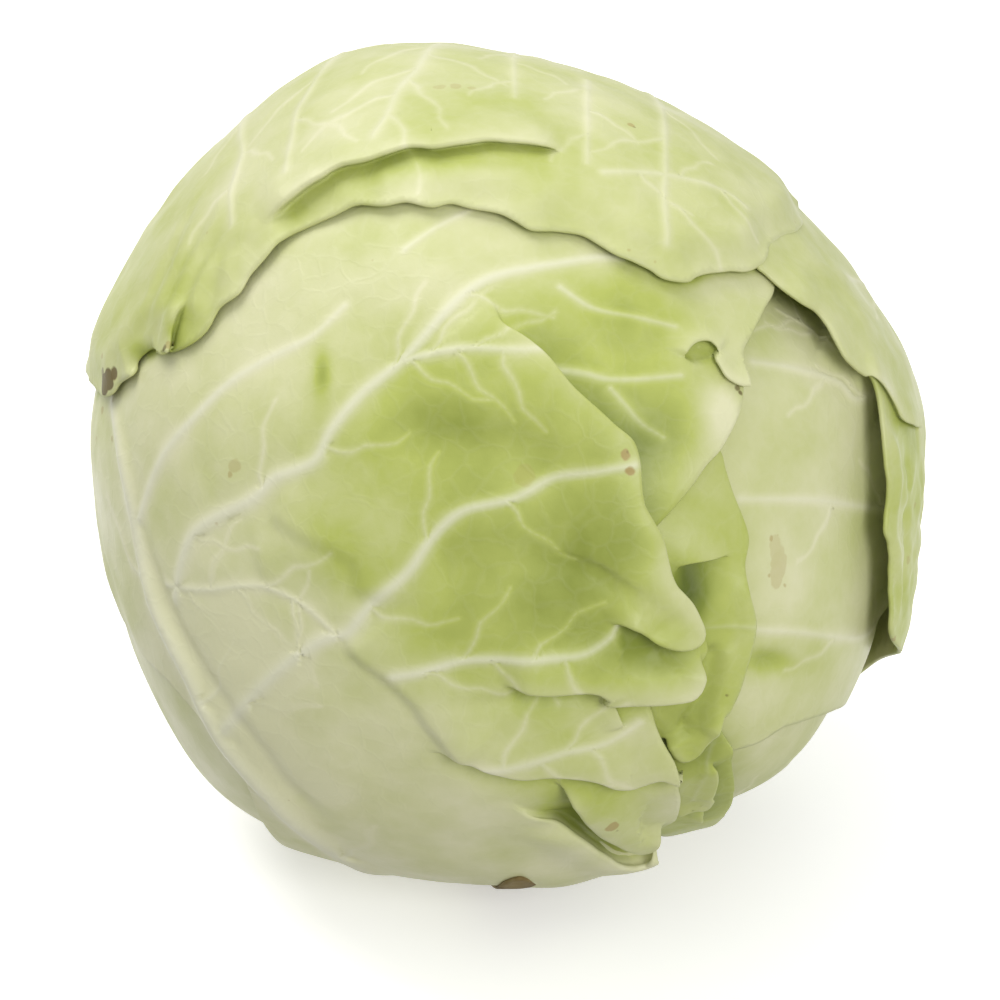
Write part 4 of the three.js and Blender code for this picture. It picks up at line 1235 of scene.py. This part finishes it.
ridge(front, [[250, 560], [300, 552], [350, 575]], 0.6, 5)
ridge(front, [[110, 400]] + MIDRIB[-2::-1], 0.9, 2.8)
ridge(front, [[128, 470], [140, 530], [160, 590], [190, 651], [222, 700], [257, 748], [292, 793],
              [338, 828]], -0.7, 2.4)
ridge(front, [[96, 520], [112, 590], [140, 660], [180, 730]], -0.5, 3)
front["lift"] += MM * patches(front, [
    (-1.4, 550, 702, 60, 8), (-1.6, 655, 660, 26, 10), (-1.6, 560, 826, 30, 8), (1.8, 575, 876, 50, 14),
    (-1.0, 702, 356, 8, 6)
])
front["lift"] += 1.5 * MM * smoothstep(-front["ways"][:, 2], 0.55, 0.8)
front["green"] += 0.12 + patches(front, [
    (0.4, 470, 520, 190, 200), (0.32, 430, 420, 90, 60), (0.22, 500, 620, 130, 70),
    (0.12, 560, 740, 110, 60), (0.4, 600, 540, 70, 100), (0.4, 630, 330, 110, 70), (0.3, 640, 650, 60, 30),
    (0.18, 590, 810, 70, 45), (0.3, 660, 440, 40, 60), (0.5, 322, 372, 9, 22), (-0.3, 724, 405, 18, 30),
    (-0.25, 250, 700, 120, 130), (-0.1, 430, 800, 90, 60), (-0.12, 578, 858, 42, 26),
    (0.12, 645, 805, 34, 34), (0.15, 600, 290, 50, 30), (0.15, 340, 560, 50, 40), (0.15, 680, 425, 30, 40),
    (0.15, 560, 440, 60, 40), (0.12, 410, 240, 80, 30)
])
# Painted shade: a green band under the cap leaf's margin, where that margin shades the front leaf.
painted_shade_line(front, CAP_MARGIN, 0.5, 1.8)
swell_between(front, front_ribs)
front_leaf = finish_leaf(
    "front_leaf_blade", front, front_ribs, "green_front_leaf", rib_share=0.65,
    tan=[(625, 455, 1.2, 0.85), (630, 470, 1.0, 0.9), (612, 827, 1.5, 0.75), (235, 465, 1.6, 0.3),
         (231, 474, 0.8, 0.5), (525, 475, 2.2, 0.2), (747, 400, 1.0, 0.6), (112, 440, 0.8, 0.5),
         (102, 411, 1.1, 0.45), (96, 438, 0.7, 0.5), (115, 400, 0.8, 0.4), (218, 524, 0.6, 0.5),
         (132, 366, 0.6, 0.5)],
    brown=[(628, 453, 0.5, 0.6), (616, 831, 0.5, 0.5), (737, 388, 0.9, 0.7), (741, 393, 0.7, 0.8),
           (743, 402, 0.5, 0.6)])
settle(front_leaf, "front_leaf")


# The side leaf stands at the right, and its ragged margin shows there nearly edge on.
depth = depth_of("side")
side_outline = [
    (drawn(SIDE_MARGIN, depth), FRONT_SPACING),
    (on_head([[87, -30], [97, -48], [108, -64], [122, -76.5], [150, -77], [157, -60]]), BACK_SPACING),
    (on_head([[160, -32], [158, 0], [150, 28], [130, 46], [100, 58], [66, 60]]), BACK_SPACING),
]
side_pleats = [
    ([[866, 374], [880, 386], [890, 398], [896, 410], [900, 420], [910, 427], [921, 430]], 0.9, 5, 0.6, 0.6,
     (0.1, 0.1)),
]
side_ribs = ribs_of([
    ([[129, -74], [124, -40], [118, 0], [106, 32]], [], 4.6, 1.8),
    ([[119, 2], [100, 22], [80, 34]], [], 1.5, 0.8),
    ([[122, -22], [104, -8], [92, 2]], [], 1.5, 0.8),
    ([[124, -44], [106, -34], [94, -26]], [], 1.4, 0.8),
    ([[120, -12], [136, 6], [146, 20]], [], 1.4, 0.8),
    ([[116, 12], [128, 30], [132, 42]], [], 1.2, 0.7),
], depth)
side_ribs += side_veins(side_ribs[1:], (0.2, 0.4, 0.6, 0.8), 20, 0.6)
side = spread_blade(at(112, 4), side_outline, depth, 1.0 * MM, side_pleats, side_ribs)
side["lift"] += 0.4 * MM * rough(side, 15 * MM, 13) + 0.5 * MM * rough(side, 8 * MM, 23) * facing_us(side)
side["lift"] += 0.6 * MM * rough(side, 3.6 * MM, 21) * around(side, 912, 540, 26, 100)
ridge(side, [[888, 420], [897, 470], [895, 530], [900, 590], [897, 628]], 0.7, 1.6)
ridge(side, [[905, 440], [908, 500], [906, 560], [902, 610]], -0.6, 1.4)
side["green"] += 0.3 + patches(side, [(0.3, 905, 480, 20, 60), (0.2, 900, 600, 20, 50)])
swell_between(side, side_ribs)
side_leaf = finish_leaf(
    "side_leaf_blade", side, side_ribs, "green_side_leaf", rib_share=0.45,
    tan=[(915, 505, 0.9, 0.4), (908, 560, 0.9, 0.4), (893, 640, 1.2, 0.6), (890, 402, 0.4, 0.4),
         (903, 424, 0.4, 0.4)],
    brown=[(894, 646, 0.9, 0.7), (918, 512, 0.4, 0.5)])
settle(side_leaf, "side_leaf")


# The cap leaf comes up from the back and over the top. Its waved front margin lies on the
# front leaf, and one pleat stands open along the top.
depth = depth_of("cap")
cap_outline = [
    (drawn(CAP_MARGIN, depth), FRONT_SPACING),
    (on_head([[118, 38], [135, 22], [146, -5], [150, -32], [158, -55], [166, -75], [180, -77.5]]),
     BACK_SPACING),
    (on_head([[-166, -75], [-157, -58], [-148, -36], [-134, -14], [-116, 2], [-96, 12]]), BACK_SPACING),
]
cap_pleats = [
    ([[262, 226], [273, 215], [303, 192], [325, 179], [338, 171], [368, 164], [390, 157], [412, 151],
      [434, 152], [466, 147], [488, 144], [509, 146], [531, 148], [553, 151], [570, 156]], 1.4, 8, 0.9, 0.9,
     (0.12, 0.12)),
    ([[162, 350], [168, 330], [177, 312], [186, 296]], 0.7, 4, 0.4, 0.6, (0.0, 0.4)),
]
cap_ribs = ribs_of([
    ([[180, -74], [179, -40], [177, 0], [174, 40], [165, 68]], [], 5.0, 2.0),
    ([[178, -6], [-160, 22], [-130, 38]], [], 1.6, 0.9),
    ([[176, 22], [-150, 55]], [[311, 87], [299, 106], [292, 138], [288, 173]], 1.6, 0.9),
    ([[176, 30], [140, 60]], [[659, 103], [664, 125], [665, 199], [667, 243]], 1.6, 0.9),
    ([[178, -20], [160, 2], [150, 20]], [], 1.4, 0.8),
    ([[179, -44], [-164, -24], [-146, -10]], [], 1.4, 0.8),
    ([], [[440, 44], [417, 68], [398, 90], [388, 116], [375, 138]], 1.6, 0.9),
    ([], [[250, 112], [241, 132], [241, 157], [232, 189], [232, 224]], 1.4, 0.8),
    ([], [[514, 48], [514, 68], [515, 97]], 1.1, 0.7),
    ([], [[587, 80], [587, 100], [587, 163]], 1.1, 0.7),
    ([], [[603, 173], [673, 176], [727, 192], [747, 208]], 1.1, 0.7),
], depth)
cap_ribs += side_veins(cap_ribs[1:7], (0.15, 0.3, 0.45, 0.6, 0.75, 0.9), 22, 0.6)
cap_ribs += side_veins(cap_ribs[7:12], (0.3, 0.6, 0.85), 14, 0.5)
cap = spread_blade(at(-178, 58), cap_outline, depth, 0.95 * MM, cap_pleats, cap_ribs)
cap["lift"] += 0.5 * MM * rough(cap, 17 * MM, 15) + 0.3 * MM * rough(cap, 7 * MM, 16)
facing = facing_us(cap)
cap["lift"] -= 2.0 * MM * (1 - smoothstep(cap["edge"], 0, 9 * MM)) * facing
cap["lift"] += 0.6 * MM * rough(cap, 6 * MM, 17) * np.exp(-(cap["edge"] / (4 * MM)) ** 2) * facing
for shift in (0, 16, 34, 52):
    wrinkle = [[208 + shift, 180 + shift], [172 + shift, 250], [142 + shift, 318], [124 + shift, 352]]
    ridge(cap, wrinkle, -0.6, 1.9, ends=(0.3, 0.2))
ridge(cap, [[145, 343], [134, 347], [124, 358], [118, 372]], -0.9, 1.5)
# The narrow band below the top pleat paints the shade in that pleat's pocket.
cap["green"] += 0.22 + patches(cap, [
    (0.1, 700, 215, 50, 30), (0.15, 480, 110, 90, 50), (0.15, 640, 190, 120, 60), (0.25, 170, 300, 60, 90),
    (0.2, 420, 162, 100, 9), (0.4, 134, 350, 12, 10), (0.4, 168, 335, 6, 14)
])
swell_between(cap, cap_ribs, pale=0.15)
cap_leaf = finish_leaf(
    "cap_leaf_blade", cap, cap_ribs, "green_cap_leaf", rib_share=0.35,
    tan=[(632, 125, 0.9, 0.6), (440, 87, 1.2, 0.25), (455, 86, 1.4, 0.3), (472, 88, 1.0, 0.25),
         (631, 250, 0.5, 0.4), (655, 262, 0.5, 0.4), (168, 345, 1.0, 0.5), (114, 374, 1.4, 0.5),
         (102, 356, 0.8, 0.5), (207, 233, 0.5, 0.4)],
    brown=[(104, 384, 2.2, 0.9), (108, 379, 2.0, 0.9), (114, 373, 1.4, 0.85), (103, 374, 1.2, 0.6),
           (164, 348, 0.7, 0.7), (172, 344, 0.6, 0.6), (635, 127, 0.4, 0.6)])
settle(cap_leaf, "cap_leaf")


# The stub is what is left of a trimmed wrapper leaf: a dried, brown foot under the front leaf.
STUB_PALE = "#8a7a4e"
STUB_BROWN = "#6b5a35"
STUB_DARK = "#4d3f22"
depth = depth_of("stub")
stub_outline = [
    (drawn([[492, 885], [506, 882], [520, 878], [534, 882], [550, 885]], depth), FRONT_SPACING),
    (on_head([[14, -66], [22, -76.5], [-6, -77.3], [-24, -76], [-13, -66]]), 1.2 * MM),
]
stub_ribs = ribs_of([
    ([[2, -76], [2, -68], [3, -62]], [], 1.2, 0.8),
    ([[12, -75], [9, -68], [7, -62]], [], 0.9, 0.6),
    ([[-10, -75], [-6, -68], [-3, -62]], [], 0.9, 0.6),
], depth)
stub = spread_blade(at(2, -69), stub_outline, depth, 0.7 * MM)
stub["lift"] += 0.4 * MM + 0.15 * MM * rough(stub, 5 * MM, 17)
stub["green"] += 0.5 + 0.4 * rough(stub, 4 * MM, 19)
stub_leaf = finish_leaf(
    "stub_blade", stub, stub_ribs, "dried_leaf_foot", pale=STUB_PALE, green=STUB_BROWN, deep=STUB_DARK,
    wax=0.7)
settle(stub_leaf, "leaf_stub")
